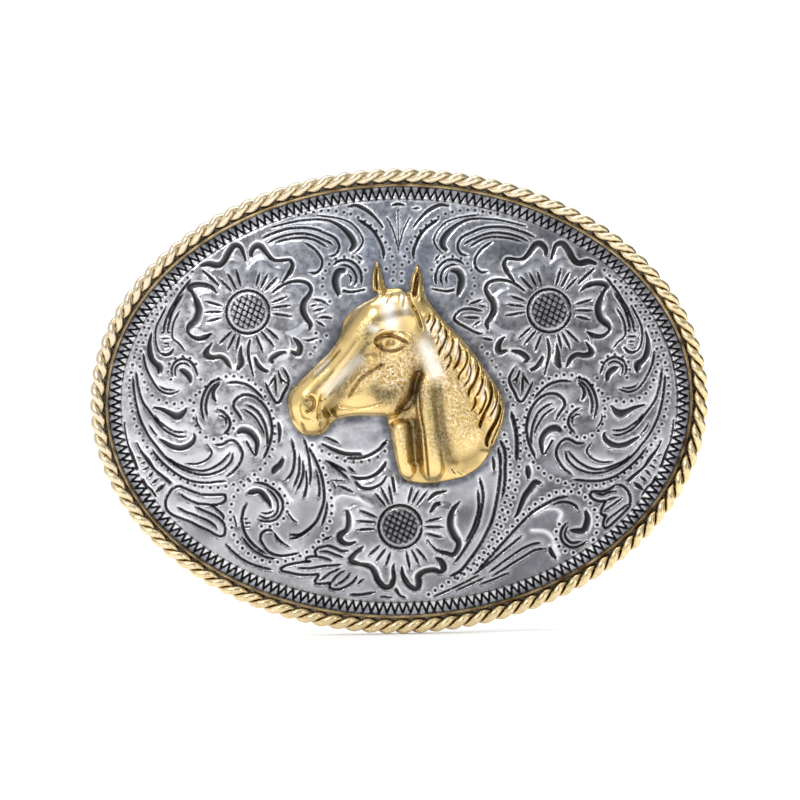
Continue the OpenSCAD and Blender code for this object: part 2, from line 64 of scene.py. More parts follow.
# The engraver's strokes in mm. A cut is a line of even width, and a scoop is x, y and width at each
# point. A row is a curve of evenly spaced ring punches, a punch is one of them, and a ridge is raised.
# Paired strokes and the left flower's are repeated on the right, mirrored about the artwork's axis.
PAIRED_STROKES = """
cut .42: -31.6 19.2, -32.5 18.1, -33.4 16.9, -34.2 15.6, -34.9 14.5, -35.4 13.3, -35.8 12.2, -35.9 11.1
cut .4: -32.9 16.9, -33.7 15.7, -34.4 14.5, -34.9 13.2, -35.2 12, -35.3 11.1
cut .35: -36.3 10.2, -35 10.2
cut .35: -36.1 9.5, -35.1 9.4
cut .35: -35.9 8.9, -35.2 8.9
punch: -36.1 11.1, -35.1 11.1
cut .36: -39.1 8, -39 7, -38.8 6, -38.4 5, -38 4.2, -37.5 3.3, -36.8 2.4, -36 1.9, -35.1 1.7, -34.3 1.9,
    -33.7 2.1
cut .34: -36.6 2.9, -36 2.5, -35.2 2.3, -34.3 2.3
cut .38: -34.6 4.3, -34.8 5.2, -34.6 6.1, -34 6.7, -33.1 7, -32.2 6.8, -31.5 6.2, -31.1 5.4, -30.8 4.4
cut .34: -34.1 4.4, -34.3 5.2, -34 5.9, -33.3 6.3, -32.6 6.3, -31.9 5.8
cut .4: -40.8 4.4, -40.7 2.7, -40.5 1, -40.2 -.5, -39.8 -2, -39.1 -3.6, -38.4 -4.9, -37.4 -6.2, -36.4
    -7.5, -35.2 -8.7, -33.9 -9.6, -32.4 -10.3, -31 -10.7, -29.6 -10.8, -28.3 -10.5, -27 -9.9, -25.9
    -8.8, -25.5 -7.5
cut .4: -40.3 5.2, -40.1 3.5, -39.8 2, -39.3 .5, -38.5 -.7, -37.7 -1.8, -36.9 -2.9, -35.9 -3.9, -34.9
    -4.5, -33.9 -4.9, -32.8 -4.9
cut .34: -37.5 -1.6, -36.7 -2.6, -35.7 -3.4, -34.7 -4, -33.8 -4.2, -32.8 -4.2
cut .38: -37.9 -6.9, -37 -8.2, -35.7 -9.5, -34.3 -10.6, -32.9 -11.4, -31.2 -11.9, -29.5 -12, -28 -11.9,
    -26.7 -11.8
cut .38: -35.6 -8.1, -34.5 -8.9, -33.2 -9.5, -31.8 -10, -30.3 -10.2, -28.8 -9.8, -27.2 -8.8, -26 -7.5
cut .42: -26.3 3.2, -25 3.3, -23.9 3.1, -22.9 2.7, -21.9 1.9, -21.2 1.2, -20.7 .6
cut .45: -24.1 -2.6, -24.4 -1.9, -24.9 -1.2, -25.3 -.6, -25.3 .2, -24.7 .9, -23.9 1.3, -22.9 1.3, -21.9
    .9, -20.9 0, -20.1 -1.2, -19.7 -2.5, -19.5 -3.9, -19.6 -5, -19.9 -6.2, -20.4 -7.4, -20.9 -8.5
cut .42: -23.4 -.2, -22.5 -.6, -21.5 -1.4, -20.9 -2.4, -20.5 -3.5, -20.3 -4.7, -20.2 -5.7, -20.4 -6.4
cut .38: -23.8 -.9, -22.9 -1.4, -22 -2.2, -21.4 -3.2, -20.9 -4.2, -20.7 -4.9
cut .42: -27.8 -.8, -27 -1.2, -26.3 -1.9, -25.9 -2.9, -26.2 -3.9, -27 -4.7
cut .36: -27.7 -1.8, -27 -1.9, -26.5 -2.5, -26.6 -3.3
cut .42: -28.4 -6.2, -27.2 -6.2, -26.3 -5.7, -25.5 -5.6, -24.8 -6.1, -24.3 -6.9, -24.1 -7.8, -24.5 -9,
    -25.4 -10.2, -26.6 -11.1
cut .42: -27.1 3.8, -28.4 3.5, -29.4 2.5, -30 1.2, -30.3 -.1, -30.2 -1.3, -29.9 -2.4
cut .42: -27.4 3.4, -28.2 2.9, -29 1.9, -29.5 .5, -29.6 -.7, -29.4 -1.8
cut .42: -20.4 3.2, -19.9 1.9, -19.2 .6, -18.7 0, -18.1 .4, -17.7 1.3, -17 2.6, -16.8 3.6, -17.2 4.5,
    -17.7 5.4
cut .38: -18.9 4.3, -18.8 1.4
cut .38: -18.4 4.9, -18 3.7, -17.2 3.1
cut .38: -19.8 2.7, -19 4
cut .38: -18.1 3.8, -17.9 2.9
cut .42: -20.5 25.3, -19.4 25.8, -18 26.3, -16.4 26.7, -14.7 26.8, -13.3 26.7, -12 26.4, -10.7 25.8,
    -9.5 25.2, -8.9 24.4, -8.8 23.4, -9.4 22.5, -10.3 22.3
cut .4: -19.6 24.6, -18.4 25.2, -16.7 25.7, -15 25.9, -13.6 25.8, -12.3 25.4, -11.2 24.9, -10.2 24.4,
    -9.7 24
cut .38: -18.4 24.6, -17 25, -15.4 25.2, -14 25.2, -12.6 24.9, -11.5 24.3, -10.6 23.7
cut .3: -19.2 26.9, -18 27.2, -16.3 27.6, -14.6 27.9, -13 28, -11.3 28.1
cut .28: -12 28.6, -10.4 28.4, -8.7 28.1, -7.1 27.5, -6.1 26.6, -5.4 25.6, -5.1 24.6, -5.6 23.5, -6.4
    22.7
cut .5: -5.8 27.9, -4.8 27.2, -3.8 26.4, -3 25.4, -2.4 24.2, -2 23, -2 21.9
cut .2: -1.4 28.1, -.9 27.2, -.4 26, -.1 24.9, .2 23.7
cut .42: -9.7 21, -9 21.5, -8 21.7, -7 21.5, -6.2 20.9, -5.6 20, -5.4 19, -5.5 17.9
cut .4: -8.7 20.9, -7.9 20.9, -7 20.5, -6.4 19.7, -6.2 18.7, -6.5 17.8
cut .35: -7.2 19.5, -7 18.7, -7.2 18.1
cut .45: -5.9 22.3, -5.3 21.6
cut .4: -14 24.5, -12.7 23.6, -11.9 22.7, -11.4 21.7, -11.6 20.5, -12.4 19.8, -13.4 19.9
cut .3: -35.5 15, -36.3 13.5, -37.1 11.8, -37.2 10, -36.9 8.6, -36.3 7.8
cut .3: -33.4 14.4, -34.2 13, -34.6 11.5, -34.5 10.2, -33.6 9.4, -32.7 8.3
cut .3: -38.3 -3.1, -37.8 -4, -37.2 -4.7
cut .3: -31.1 -1.8, -31 -2.8, -30.3 -3.9
cut .3: -29.5 -6.2, -28.8 -7.4, -29.6 -8.5, -31.2 -9.1, -32.8 -9
scoop: -36.2 7.9 .4, -35.7 7.7 .5, -35 7.9 .5, -34.5 8.5 .3
scoop: -37.8 11 .25, -38.1 9.6 .6, -38.1 8.4 .85, -37.8 7.2 .9, -37.2 6.4 .9, -36.6 5.9 1.2, -36.6 5.1
    .8
scoop: -33.5 5.4 .4, -33 5.2 .9, -32.4 4.8 1, -32 4.2 .9, -31.9 3.4 .4
scoop: -37.6 -.3 .3, -36.2 -.7 .6, -35 -1.3 .9, -34 -1.7 1.3, -33 -1.1 .7, -32.6 -.5 .3
scoop: -36.8 -5.2 .3, -36 -5.7 .6, -35 -6.3 .8, -33.8 -6.6 .85, -32.7 -6.4 .85, -31.7 -5.7 .7, -31.4
    -4.9 .45, -31.5 -4.5 .25
scoop: -24.8 -4.4 .6, -24.1 -4 1.1, -23.1 -4.2 1.1, -22.3 -4.9 1, -21.8 -5.9 .8, -21.9 -7 .6, -22.2 -8
    .25, -23.5 -5.8 .4
scoop: -27.5 3 .3, -28.3 2.1 .5, -28.4 1.2 .6, -28 .4 .3
scoop: -42.2 -2.5 .15, -42.1 -4 .25, -41.7 -6 .3, -41.2 -7.3 .5, -40.7 -8.7 .5, -40.3 -9.8 .4
scoop: -39.6 -11.4 .6, -39 -12.4 .5, -38.3 -12.9 .35, -37.5 -14 .3
scoop: -40.3 -5.7 .2, -39.7 -7 .35, -38.6 -8.5 .6, -37.6 -9.9 .4, -36.3 -11 .5, -35.2 -12 .6
cut .5: -40.2 -7.9, -39.8 -8.1
cut .5: -39.6 -8.9, -39.2 -8.7
cut .5: -39.4 -9.9, -38.6 -9.5
cut .5: -38.6 -11, -38 -10.3
cut .5: -38.1 -12, -37.2 -11.3
cut .6: -37.5 -13.3, -36.2 -12.2
scoop: -12 28 .3, -10.6 27.9 .4, -9.3 27.4 .5, -8.1 26.6 .7, -7.1 25.6 .95, -6.5 24.6 1, -6.5 23.8 .9,
    -7.1 23.1 .5
scoop: -7.3 29.9 .3, -6.2 30.1 .5, -5.3 29.8 .6, -4.3 29.2 .6, -3.5 28.5 .5, -2.7 27.6 .4, -2 26.6 .3
scoop: -8 20.1 .8, -8.9 19.9 1.1, -9.4 18.9 1.1, -9.3 17.7 1.1, -8.9 16.4 .6
scoop: -8.2 17 .5, -7 16.8 .4, -5 17.1 .3
row: -31.3 20.35, -35.5 15.8, -38.25 11.65, -39.5 8.2, -39.6 5.75, -38.4 2.25, -36.6 .7, -34.3 .15, -32
    .65
row: -33.9 18.65, -37.1 14.9, -39.5 10.6, -41.15 4.65, -41.25 1, -40.1 -3.8, -37.55 -8.1, -34.85 -10.6,
    -31.6 -12.35, -28 -12.75, -24.4 -12, -22.2 -10.8, -20.5 -9, -19.4 -6.8, -19.05 -4.3, -19.35 -1.8,
    -20.25 .65, -21.6 2.7, -23.8 4, -26.3 4.2, -28.6 3.45, -30.5 1.9
row: -31.1 1.45, -31.5 -.45, -31.3 -2.95, -29.85 -4.9, -27.4 -5.3, -25.5 -3.85, -25.3 -2.65, -25.65
    -1.45, -26.5 -.6
row: -14.85 28.75, -11.2 29.3, -8.65 29.15, -6.35 28.5, -4.15 27.2, -2.4 25.4, -1.1 23.35, -.65 22.1
punch: -31 6.2, -31.9 7.1, -33 7.4, -34.2 7.1, -35.1 6.3, -35.3 5.1, -34.9 3.9, -30.3 3.8
punch: -9.3 21.9, -8 22.2, -6.7 22.1, -10.3 21.1, -10.9 20.1, -11.3 18.9, -11.4 17.7, -11 16.5, -10.3
    15.4, -5.7 21.3, -4.8 20.1
"""

FLOWER_STROKES = """
cut .4: -19.2 15.4, -16.9 16.2
cut .4: -19.1 14.6, -16.4 14.9
cut .4: -19.1 13.7, -16.2 13.2
cut .4: -21.6 17.9, -21 20
cut .4: -20.9 17.6, -19.8 19.8
cut .4: -20.3 17.2, -18.4 19.2
cut .4: -23.9 17.9, -24.6 20.5
cut .4: -24.6 17.5, -25.9 20
cut .4: -25.3 17.2, -27 19
cut .4: -26.8 15, -29.4 15.8
cut .4: -26.8 14.1, -29.5 14.1
cut .4: -27 13.2, -29.1 12.7
cut .4: -25.4 11.1, -27.4 9.2
cut .4: -24.8 10.8, -26.1 8.3
cut .4: -24.2 10.5, -24.8 8.2
cut .4: -21.7 10.4, -20.7 7.8
cut .4: -20.9 11, -19 8.7
cut .4: -20.1 11.5, -18.2 9.7
scoop: -30 21.3 .5, -28.8 21.6 .9, -27.4 21.3 .95, -26.5 21.9 .95, -25.8 23.2 1,
    -24.9 24.3 .95, -23.9 24.1 .7, -23.4 22.9 .5, -23.1 21.9 .3
scoop: -29.7 20.5 .3, -28.5 19.4 .5, -27.3 18.2 .3
scoop: -22.3 22.6 .5, -22.2 23.5 .8, -21.5 24.2 1, -20.7 24.1 1, -20 23.2 .8, -19.2 22.2 .6, -18.3 21.8
    .5, -17 21.9 .5, -16.3 21.9 .5, -15.9 21.2 .6, -16.2 20.2 .7, -16.8 19.3 .6, -17.5 18.4 .3
scoop: -19 17 .3, -17.8 17.9 .45, -16.3 18.5 .45, -14.8 18.6 .5, -13.6 18.2 .55, -13.1 17.3 .6, -13.6
    16.2 .8, -14.3 15.2 1, -14.4 14 1, -13.9 12.9 .8, -13.3 12 .7, -13.5 11.2 .4
scoop: -27.7 17.1 .3, -28.5 17.9 .7, -29.8 18.3 .8, -31 18.3 .9, -31.8 17.9 .9, -31.3 17.1 .5, -30.7
    15.8 .9, -30.4 14.5 1.1, -30.8 13 1.2, -31.8 12.1 1, -32.2 11.3 .5, -31.6 10.5 .5, -30.6 10.1 .7,
    -29.5 10.3 .7, -28.7 10.8 .3
scoop: -28.5 9.3 .2, -29.3 8.2 .8, -29.4 7.5 1, -28.3 7.2 .8, -27.2 7.3 .8, -26.4 6.8 .9, -25.9 6 .7,
    -25.6 5.5 .3
scoop: -24.6 5.3 .5, -24.1 6.3 1.1, -24.2 7.6 .7, -24 8.9 .2
scoop: -22.6 9.7 .3, -22.9 8.4 .5, -22.8 6.8 .4, -22.2 4.2 .25
scoop: -21.9 7 .4, -21.5 6 .8, -20.8 5.2 .6, -20.1 4.9 .5
scoop: -19.2 6.2 .5, -19.5 6.7 .9, -18.5 7.5 .8, -17.2 7.8 .4
scoop: -16.3 7.8 .5, -15.3 7.5 .9, -15 8.5 .9, -15.4 9.3 .7, -16 9.9 .3
ridge: -19.2 17.3, -18 18.3, -16.4 18.9, -14.6 19.1, -13.5 18.7, -12.8 17.7, -13 16.3, -13.7 15.3, -13.8
    14, -13.2 13, -12.6 12, -13 11
"""

SINGLE_STROKES = """
cut .15: .35 29.4, .35 26.8, .35 24.6, .3 22.7
scoop: -.5 30 .3, .3 30.2 .5, 1.3 30 .3
cut .4: 2.6 29.4, 3.7 29.5
punch: -.4 20.8, .85 20.8, -.5 19.7, .75 19.5, -.6 18.4, .7 18.3, -1.6 20.2, 1.9 21.2
cut .42: -12.9 15.8, -11.6 15.5, -10.6 14.9
cut .42: -13.3 14.7, -12.4 14.9
cut .42: -12.8 14, -11.3 14.3
cut .42: -12.1 12.9, -11.1 13, -10 12.8
cut .38: -12.4 12.4, -11.2 11.6
cut .38: -14.4 9.6, -13.6 9.5, -12.4 9.8
punch: -11.8 9.3, -12.7 8.4, -13.4 7.4, -12.5 10.6, -10.9 10.2
cut .42: 13 13.5, 11 13.9, 9.5 13.6, 8.6 12.5, 9 11.9, 10.5 11, 12 10.2, 12.9 10
cut .42: 10.2 12.6, 12.6 12.5
cut .42: 11.6 11.3, 12.6 12
cut .42: 11 14.6, 13 15.3
cut .42: 12.5 14.4, 13.5 14.1
cut .42: 12.8 9.4, 14.5 9
punch: 12.8 8, 13.6 7, 14.3 5.9, 14.9 4.9, 15.5 3.8, 16 2.6, 16.5 1.4, 17 .3, 17.4 -.9
cut .42: -29.3 -15.4, -28.1 -15.4, -27.1 -15, -26.8 -14.4, -27.1 -13.9, -28.8 -13.9, -30.4 -13.8, -31.7
    -13.4, -32.9 -12.9, -33.9 -12.5, -34.9 -12.8, -35.5 -13.5, -36 -14.4, -36.1 -15.4, -35.8 -16.2, -35
    -16.9, -33.6 -17.5, -32.3 -18, -31 -18.7, -29.5 -19.4, -28.5 -20, -27.8 -20.3, -27.2 -20.1, -27
    -19.5, -27.1 -18.5, -27.7 -17.7, -28.7 -17, -30 -16.4, -31.5 -15.7
cut .4: -33.9 -13.6, -33 -14.3, -32 -14.8, -31 -15.2, -29.3 -15.4, -28.5 -15.9, -27.8 -16.5, -27.2
    -17.2, -27.3 -17.8
cut .4: -34.2 -15.7, -33.1 -16.4, -32 -16.8, -30.6 -17.4, -29.5 -17.9, -28.6 -18.6, -28.2 -19.1
cut .38: -26.9 -21.5, -25.9 -22.6, -24.5 -23.8, -23 -24.6, -21.5 -25.1, -19.9 -25.5
cut .45: -16.5 -5.6, -16.3 -6.7, -16.1 -8, -16.2 -9.2, -16.4 -10.2, -16.9 -11.2, -17.6 -11.8
cut .42: -14.7 -5.4, -14.3 -6.7, -14 -8, -13.8 -9.7, -13.7 -11, -13.9 -12.5
cut .45: -13.9 -6.9, -13.3 -8, -12.7 -9.4, -12.1 -11, -11.8 -12.7, -11.7 -14.4, -11.9 -15.7, -12.4 -17,
    -13 -18.2, -13.9 -19.2, -14.9 -20, -16 -20.6, -17.1 -20.8
cut .38: -13.1 -18.4, -14.6 -19.6, -15.7 -20.2, -17.1 -20.1
cut .4: -11.3 -15.1, -11.4 -16.5, -11.8 -17.9, -12.2 -18.9
cut .4: -12.9 -10.1, -12.6 -11.6, -12.4 -13.1, -12.5 -14.6
cut .42: -15.4 -8, -15.4 -9.4, -15.5 -10.7, -15.9 -11.9, -16.4 -12.9
cut .42: -14.9 -9, -14.8 -10.2, -15 -11.5, -15.4 -12.5, -15.9 -13.4
scoop: -17.9 -8.6 .6, -18.4 -9.5 .9, -19.2 -10.2 1, -19.4 -10.7 .6
scoop: -18.5 -3 .4, -18.3 -4.2 .6, -18.4 -5.9 .3
scoop: -14.4 -10.5 .3, -14.3 -12.5 .4, -14.7 -14.3 .5
scoop: -17.2 -17 .3, -16.5 -17.9 .3, -16 -18.2 .2
ridge: -18.4 -12.2, -17.7 -13.4, -16.7 -14.9
cut .42: -22.2 -12.1, -21.4 -12.2, -20.4 -12.5, -19.4 -13.2, -18.6 -14, -18.1 -15, -18.1 -16.2, -18.6
    -17.2, -19.4 -17.9, -20.4 -18.1, -21.2 -18, -21.9 -17.8
cut .38: -20.4 -13.1, -19.7 -13.7, -19 -14.7, -18.8 -15.7, -19 -16.7, -19.7 -17.4, -20.7 -17.6, -21.6
    -17.2
cut .36: -21.2 -16.7, -20.5 -16.9, -19.5 -16.5
scoop: -23.4 -13.7 .4, -22.7 -13.5 .9, -21.7 -13.4 .8, -21 -13.9 .9, -20.6 -14.5 .9, -20.1 -15.2 .6,
    -19.9 -15.9 .3
cut .45: -23.6 -15.3, -24 -16, -24.3 -17, -24.4 -18, -24.1 -19.4, -23.6 -20.5, -22.8 -21.5, -21.8 -22.4,
    -20.8 -23
cut .38: -24.1 -17.7, -23.5 -17.7
cut .38: -24.1 -18.3, -23.1 -18.3
cut .38: -24 -18.9, -23.2 -18.9
cut .4: -24.4 -20.4, -23.7 -21.4, -22.7 -22.4, -21.5 -23.2, -20.3 -23.7, -19.3 -23.8
cut .42: -19.6 -19.7, -20.1 -19.4, -20.8 -19.5, -21.4 -19.9, -21.6 -20.7, -21.3 -21.5, -20.7 -22.4,
    -19.7 -23.1, -18.5 -23.4, -17.2 -23.3, -15.7 -23
scoop: -19.4 -19.9 .3, -18.9 -20.8 .5, -18 -21.5 .3, -17.2 -22 .15
scoop: -25.5 -17.3 .25, -25.2 -18.7 .2
cut .42: -8.1 -22.8, -9.2 -22.8, -10 -22.4, -11 -22, -12 -22.1, -12.9 -22.4, -13.3 -22.8, -13.1 -23.5,
    -13.9 -23.6, -14.6 -23.8, -14.7 -24.2, -14 -24.4, -15 -24.4, -16.4 -24.6, -17.7 -24.9, -18.5 -25.3,
    -18.5 -25.7, -17.7 -25.9, -16.4 -26.2, -15 -26.4, -13.7 -26.4, -12.8 -26.3, -13 -26.8, -13.4 -27.5,
    -13 -27.8, -12 -27.8, -11 -27.7, -11.2 -28.2, -10.8 -28.6, -9.8 -28.7, -8.8 -28.4, -7.8 -27.8, -7.2
    -27.2, -6.9 -26.6
cut .4: -12.4 -22.8, -11.3 -22.9, -10.3 -23.3, -8.9 -23.8
cut .4: -13.1 -23.6, -12 -23.8, -10.6 -24.3
cut .4: -15.9 -25.3, -14.2 -25.4, -12.2 -25.1, -10.5 -25, -9.2 -24.9
cut .4: -12.5 -27.3, -11.2 -26.3, -9.5 -25.5
cut .4: -10.9 -27.7, -10 -26.6, -8.8 -25.8
cut .4: -10.2 -28.1, -8.9 -27.3, -7.9 -26.3
cut .4: -6.9 -28, -5.9 -27.1
cut .45: -12 -21.1, -10.8 -20.6
cut .45: -8.1 -29.5, -6.7 -29.6, -5.2 -29.4, -4.2 -29.2
cut .3: -3.4 -29.8, -1.6 -30.2
scoop: -1 -28.8 .6, -.4 -29.7 .35, .5 -30.1 .2
cut .45: -10.9 -9.3, -9.6 -10.3, -7.9 -11.8
cut .45: -11.4 -8.9, -9.8 -9.7, -8.2 -10.6
cut .45: -7.9 -9.9, -7 -10.8
cut .2: -10.6 -11.9, -9.6 -12, -8.5 -12.1
cut .4: -10.4 -12.3, -9.8 -13.3
cut .42: -9.5 -12.8, -8.5 -13.2, -7.3 -13.8
cut .5: -8.1 -8.6, -5.6 -8.5, -3.4 -7.5, -2 -6
cut .38: -11.4 -5.3, -10.3 -5.8, -9.3 -6.3
scoop: -11.9 -6.3 .3, -10 -7.3 .6, -8.2 -7.9 .6, -6 -8 .5
punch: -13.4 -6.5, -11.9 -7.4, -10.8 -7.9, -9.6 -8.5, -8.4 -9, -7.1 -9.2, -5.9 -9.2, -4.7 -9, -3.4 -8.5,
    -2.3 -7.6, -2.2 -6.4
scoop: -7.3 -11.4 .3, -6.5 -11.7 .5, -5 -11.6 .4, -3.6 -11 .5, -2.6 -10 .6, -2.2 -9.3 .3
scoop: -6.8 -12.3 .5, -6 -13.1 .5, -4.6 -13.3 .5, -3 -12.6 .4, -2.2 -11.5 .3
scoop: -1.2 -11.6 .5, -.9 -13.9 .4
row: -21.8 -11.65, -20.6 -11.85, -19.4 -12.4, -18.4 -13.25, -17.7 -14.3, -17.35 -15.4, -17.4 -16.65, -18
    -17.7, -18.9 -18.5, -20.1 -18.85, -21.4 -18.8
row: -23.05 -11.85, -25 -13.35, -26 -15.6, -26.1 -18, -25.5 -20.4, -24.1 -22.4, -22 -23.8, -19.6 -24.35,
    -17.1 -24.05, -14.9 -23.1, -13 -21.65, -11.6 -19.7, -10.7 -17.4, -10.6 -14.9, -11 -12.4, -11.8 -10,
    -12.3 -8.9
cut .42: -6.3 -16.6, -3.8 -17.7
cut .42: -6.8 -18.2, -4 -18.5
cut .42: -6.8 -19.6, -4.1 -19.5
cut .42: -3.9 -14, -2.3 -16.1
cut .42: -3 -13.2, -1.8 -15.7
cut .42: -1.8 -12.8, -1.3 -15.6
cut .42: 1.8 -13.1, 1.1 -15.5
cut .42: 2.8 -13.6, 1.7 -15.7
cut .42: 4 -13.9, 2.4 -16
cut .42: 6.1 -18, 3.8 -18.5
cut .42: 6.4 -19.4, 3.6 -19.3
cut .42: 6.2 -21, 3.8 -20.3
cut .42: .7 -23.1, 1.2 -25.7
cut .42: 1.5 -22.8, 2.6 -25
cut .42: 2.3 -22.6, 3.7 -24.4
cut .42: -3.3 -22, -5.1 -23.6
cut .42: -2.4 -22.5, -4 -24.5
cut .42: -1.7 -23.1, -2.5 -25.2
scoop: -8.2 -16.6 .5, -8 -17.7 .8, -8 -18.7 .9, -8.4 -19.7 .8, -9.5 -20.4 .9, -9.1 -21.4 .8, -8 -21.7
    .6, -7 -21.4 .3
scoop: -6 -22.3 .4, -7.2 -23.3 .7, -7.8 -24.3 1, -6.6 -24.8 .6, -4.9 -25.2 .8, -4.1 -26.2 1, -3.7 -27.4
    .9, -2.8 -28.4 .8, -1.8 -28.3 .8, -1.3 -27 .7, -1.4 -25.6 .5, -1.2 -24.8 .2
scoop: 0 -25.4 .3, .2 -26.8 .7, .9 -28.1 .8, 2.1 -28.8 .8, 2.5 -27.9 1, 2.4 -26.9 1, 3.4 -26.1 .8, 4.9
    -25.9 .8, 5.9 -26.3 .6, 6.4 -25.6 .9, 5.9 -24.6 .9, 5.2 -24.1 .3
scoop: 8.9 -15.7 .3, 8.1 -16.6 .7, 7.6 -17.9 1, 7.6 -19.4 1.1, 8.2 -20.8 1.1, 8.8 -22 .9, 8 -23.7 .8,
    6.8 -23.4 .6, 5.3 -22.9 .4, 3.9 -21.4 .15
scoop: 5.9 -15.8 .6, 5.3 -16 .7, 4.5 -17.1 .4
scoop: 7 -13.9 .2, 5.3 -14.3 .6, 4.2 -15.2 .4
ridge: -10.3 -16.5, -10.2 -15, -9.3 -14.2, -7.8 -14.3, -6 -15, -4.6 -15.8
cut .6: 17.1 -2, 17.5 -3.5, 17.8 -5.1, 17.9 -7, 17.8 -9.4
cut .5: 15.3 -6.3, 15.9 -7.4, 16.1 -8.9, 16 -10.4, 16 -12, 15.8 -13.7, 15.5 -14.9
cut .5: 15 -7.4, 15.3 -9.1, 15.3 -11, 15.1 -12.9, 14.8 -14.7, 14.4 -16.6, 13.9 -18.5, 13.1 -20.2, 12.3
    -21.8, 11.2 -23.4, 10.2 -24.7, 8.9 -26.2, 7.3 -27
cut .45: 14.1 -8.7, 14.3 -9.7, 14.3 -10.9
cut .45: 11.8 -13.9, 11.9 -16.4, 11.4 -18.5, 10.7 -20.2, 9.9 -21.6
cut .45: 12.1 -12, 12.6 -14.4, 12.3 -16.8, 11.6 -19.4, 10.3 -21.8, 9 -23.7, 8.1 -24.9
cut .45: 25.5 -15.1, 24.4 -15.2, 23.1 -15.7, 21.7 -16.4, 20.2 -17.3, 18.8 -18.6, 17.3 -20.1, 15.8 -21.7,
    14.4 -23.2, 12.9 -24.8, 11.7 -25.9
cut .42: 27.2 -17.2, 26.7 -16.5, 25.7 -16, 24.6 -15.9, 23.4 -16.2
cut .4: 18.4 -21, 16.9 -22.2, 15.4 -23.4, 13.8 -24.7, 12.1 -26, 10.9 -26.8
cut .38: 21.4 -22.1, 20 -22.3, 18.4 -23, 16.7 -24.1, 15 -25.3, 13.3 -26.5
cut .38: 22 -23, 20.4 -23.2, 18.8 -24.1, 16.9 -25.2, 15 -26.4, 13.9 -27
cut .36: 4.7 -30.1, 6.4 -29.4, 8 -28.7, 10.1 -27.7, 11.6 -26.9
cut .34: 8.2 -29.2, 10.1 -28.4, 12.6 -27.3
cut .34: 11.9 -28.3, 14.2 -27.5, 16.3 -26.6
cut .42: 25.4 -19.1, 24.7 -19.9, 24.4 -21, 24.7 -22, 25.5 -22.7, 26.5 -22.9, 27.5 -22.6, 28.4 -22
cut .4: 25.4 -19.7, 25 -20.8, 25.4 -21.7, 26.2 -22.2, 27.5 -22
scoop: 28.3 -17.4 .5, 28.6 -18.4 .9, 28.4 -19.5 1, 27.9 -20.4 1, 26.7 -20.4 .8, 25.9 -20.3 .4
ridge: 20.4 -17.7, 22 -16.9, 23.6 -16.8, 24.5 -17.6, 24.1 -18.8
ridge: 20 -20.1, 22 -20.3, 23.2 -21.4, 23.4 -22.6, 24 -23.9
scoop: 22.7 -22.9 .5, 23 -23.7 .7, 23.6 -24.5 .4
scoop: 19.5 -10.4 .6, 19.6 -11.2 .9, 19.6 -12.2 .4
scoop: 21.4 -13 .5, 20.6 -12.9 1, 19.8 -13.9 1, 19 -14.9 .9, 18.4 -16.2 .7, 17.8 -17.6 .5, 17.3 -18.2 .2
cut .42: 33.1 -13.4, 31.9 -14.1, 30.9 -14.4, 29.4 -14.4, 29 -14.8, 29.4 -15.5, 30.4 -15.9, 31.4 -15.9,
    31.1 -16.4, 30.6 -17.5, 30.9 -18, 31.4 -18.1, 31.1 -18.7, 31 -19.7, 31.6 -20, 32.7 -19.1, 33.9 -18,
    35 -16.8, 35.2 -15.5, 34.9 -14.5, 34 -13.6, 33.1 -13.4
cut .38: 29.9 -14.7, 31 -14.9, 32.1 -14.5, 33 -14.4
cut .38: 31.4 -15.9, 32.4 -15.5, 33.3 -15.3
cut .38: 31.1 -17.4, 32.5 -16.5, 33.9 -15.5
cut .38: 34.9 -16.4, 33.4 -17.5, 31.8 -18.7, 31.4 -19.5
row: 16 -5.4, 16.6 -7.9, 16.85 -10.5, 16.6 -12.95, 16 -15.4, 15.2 -17.7, 14.3 -20, 13.6 -22.1, 12
    -24.05, 10.2 -25.7, 7.5 -27.6, 4 -29.7
row: 18 -3.2, 18.4 -5.8, 18.4 -8.3, 18.1 -10.5, 17.7 -13.2, 17 -15.6, 16.1 -17.9, 15 -20.1, 14.5 -22.2,
    12.8 -24.1, 11 -25.7, 8.5 -27.3
row: 23.8 -14.4, 21.6 -15.4, 19.6 -16.9, 17.8 -18.6, 16.2 -20.4, 15.3 -21.3
row: 25 -14.25, 27.3 -14.55, 29 -16.1, 30 -18.25, 29.9 -20.7, 29.4 -21.8
row: 24.2 -19.3, 23.7 -20.5, 23.7 -21.7, 24.2 -22.8, 25.2 -23.5, 26.3 -23.7
"""

AXIS_TILT = math.radians(0.75)  # the artwork's axis leans this far clockwise
FLOWERS = [(-22.9, 14.0), (23.2, 13.4), (-0.17, -19.23)]

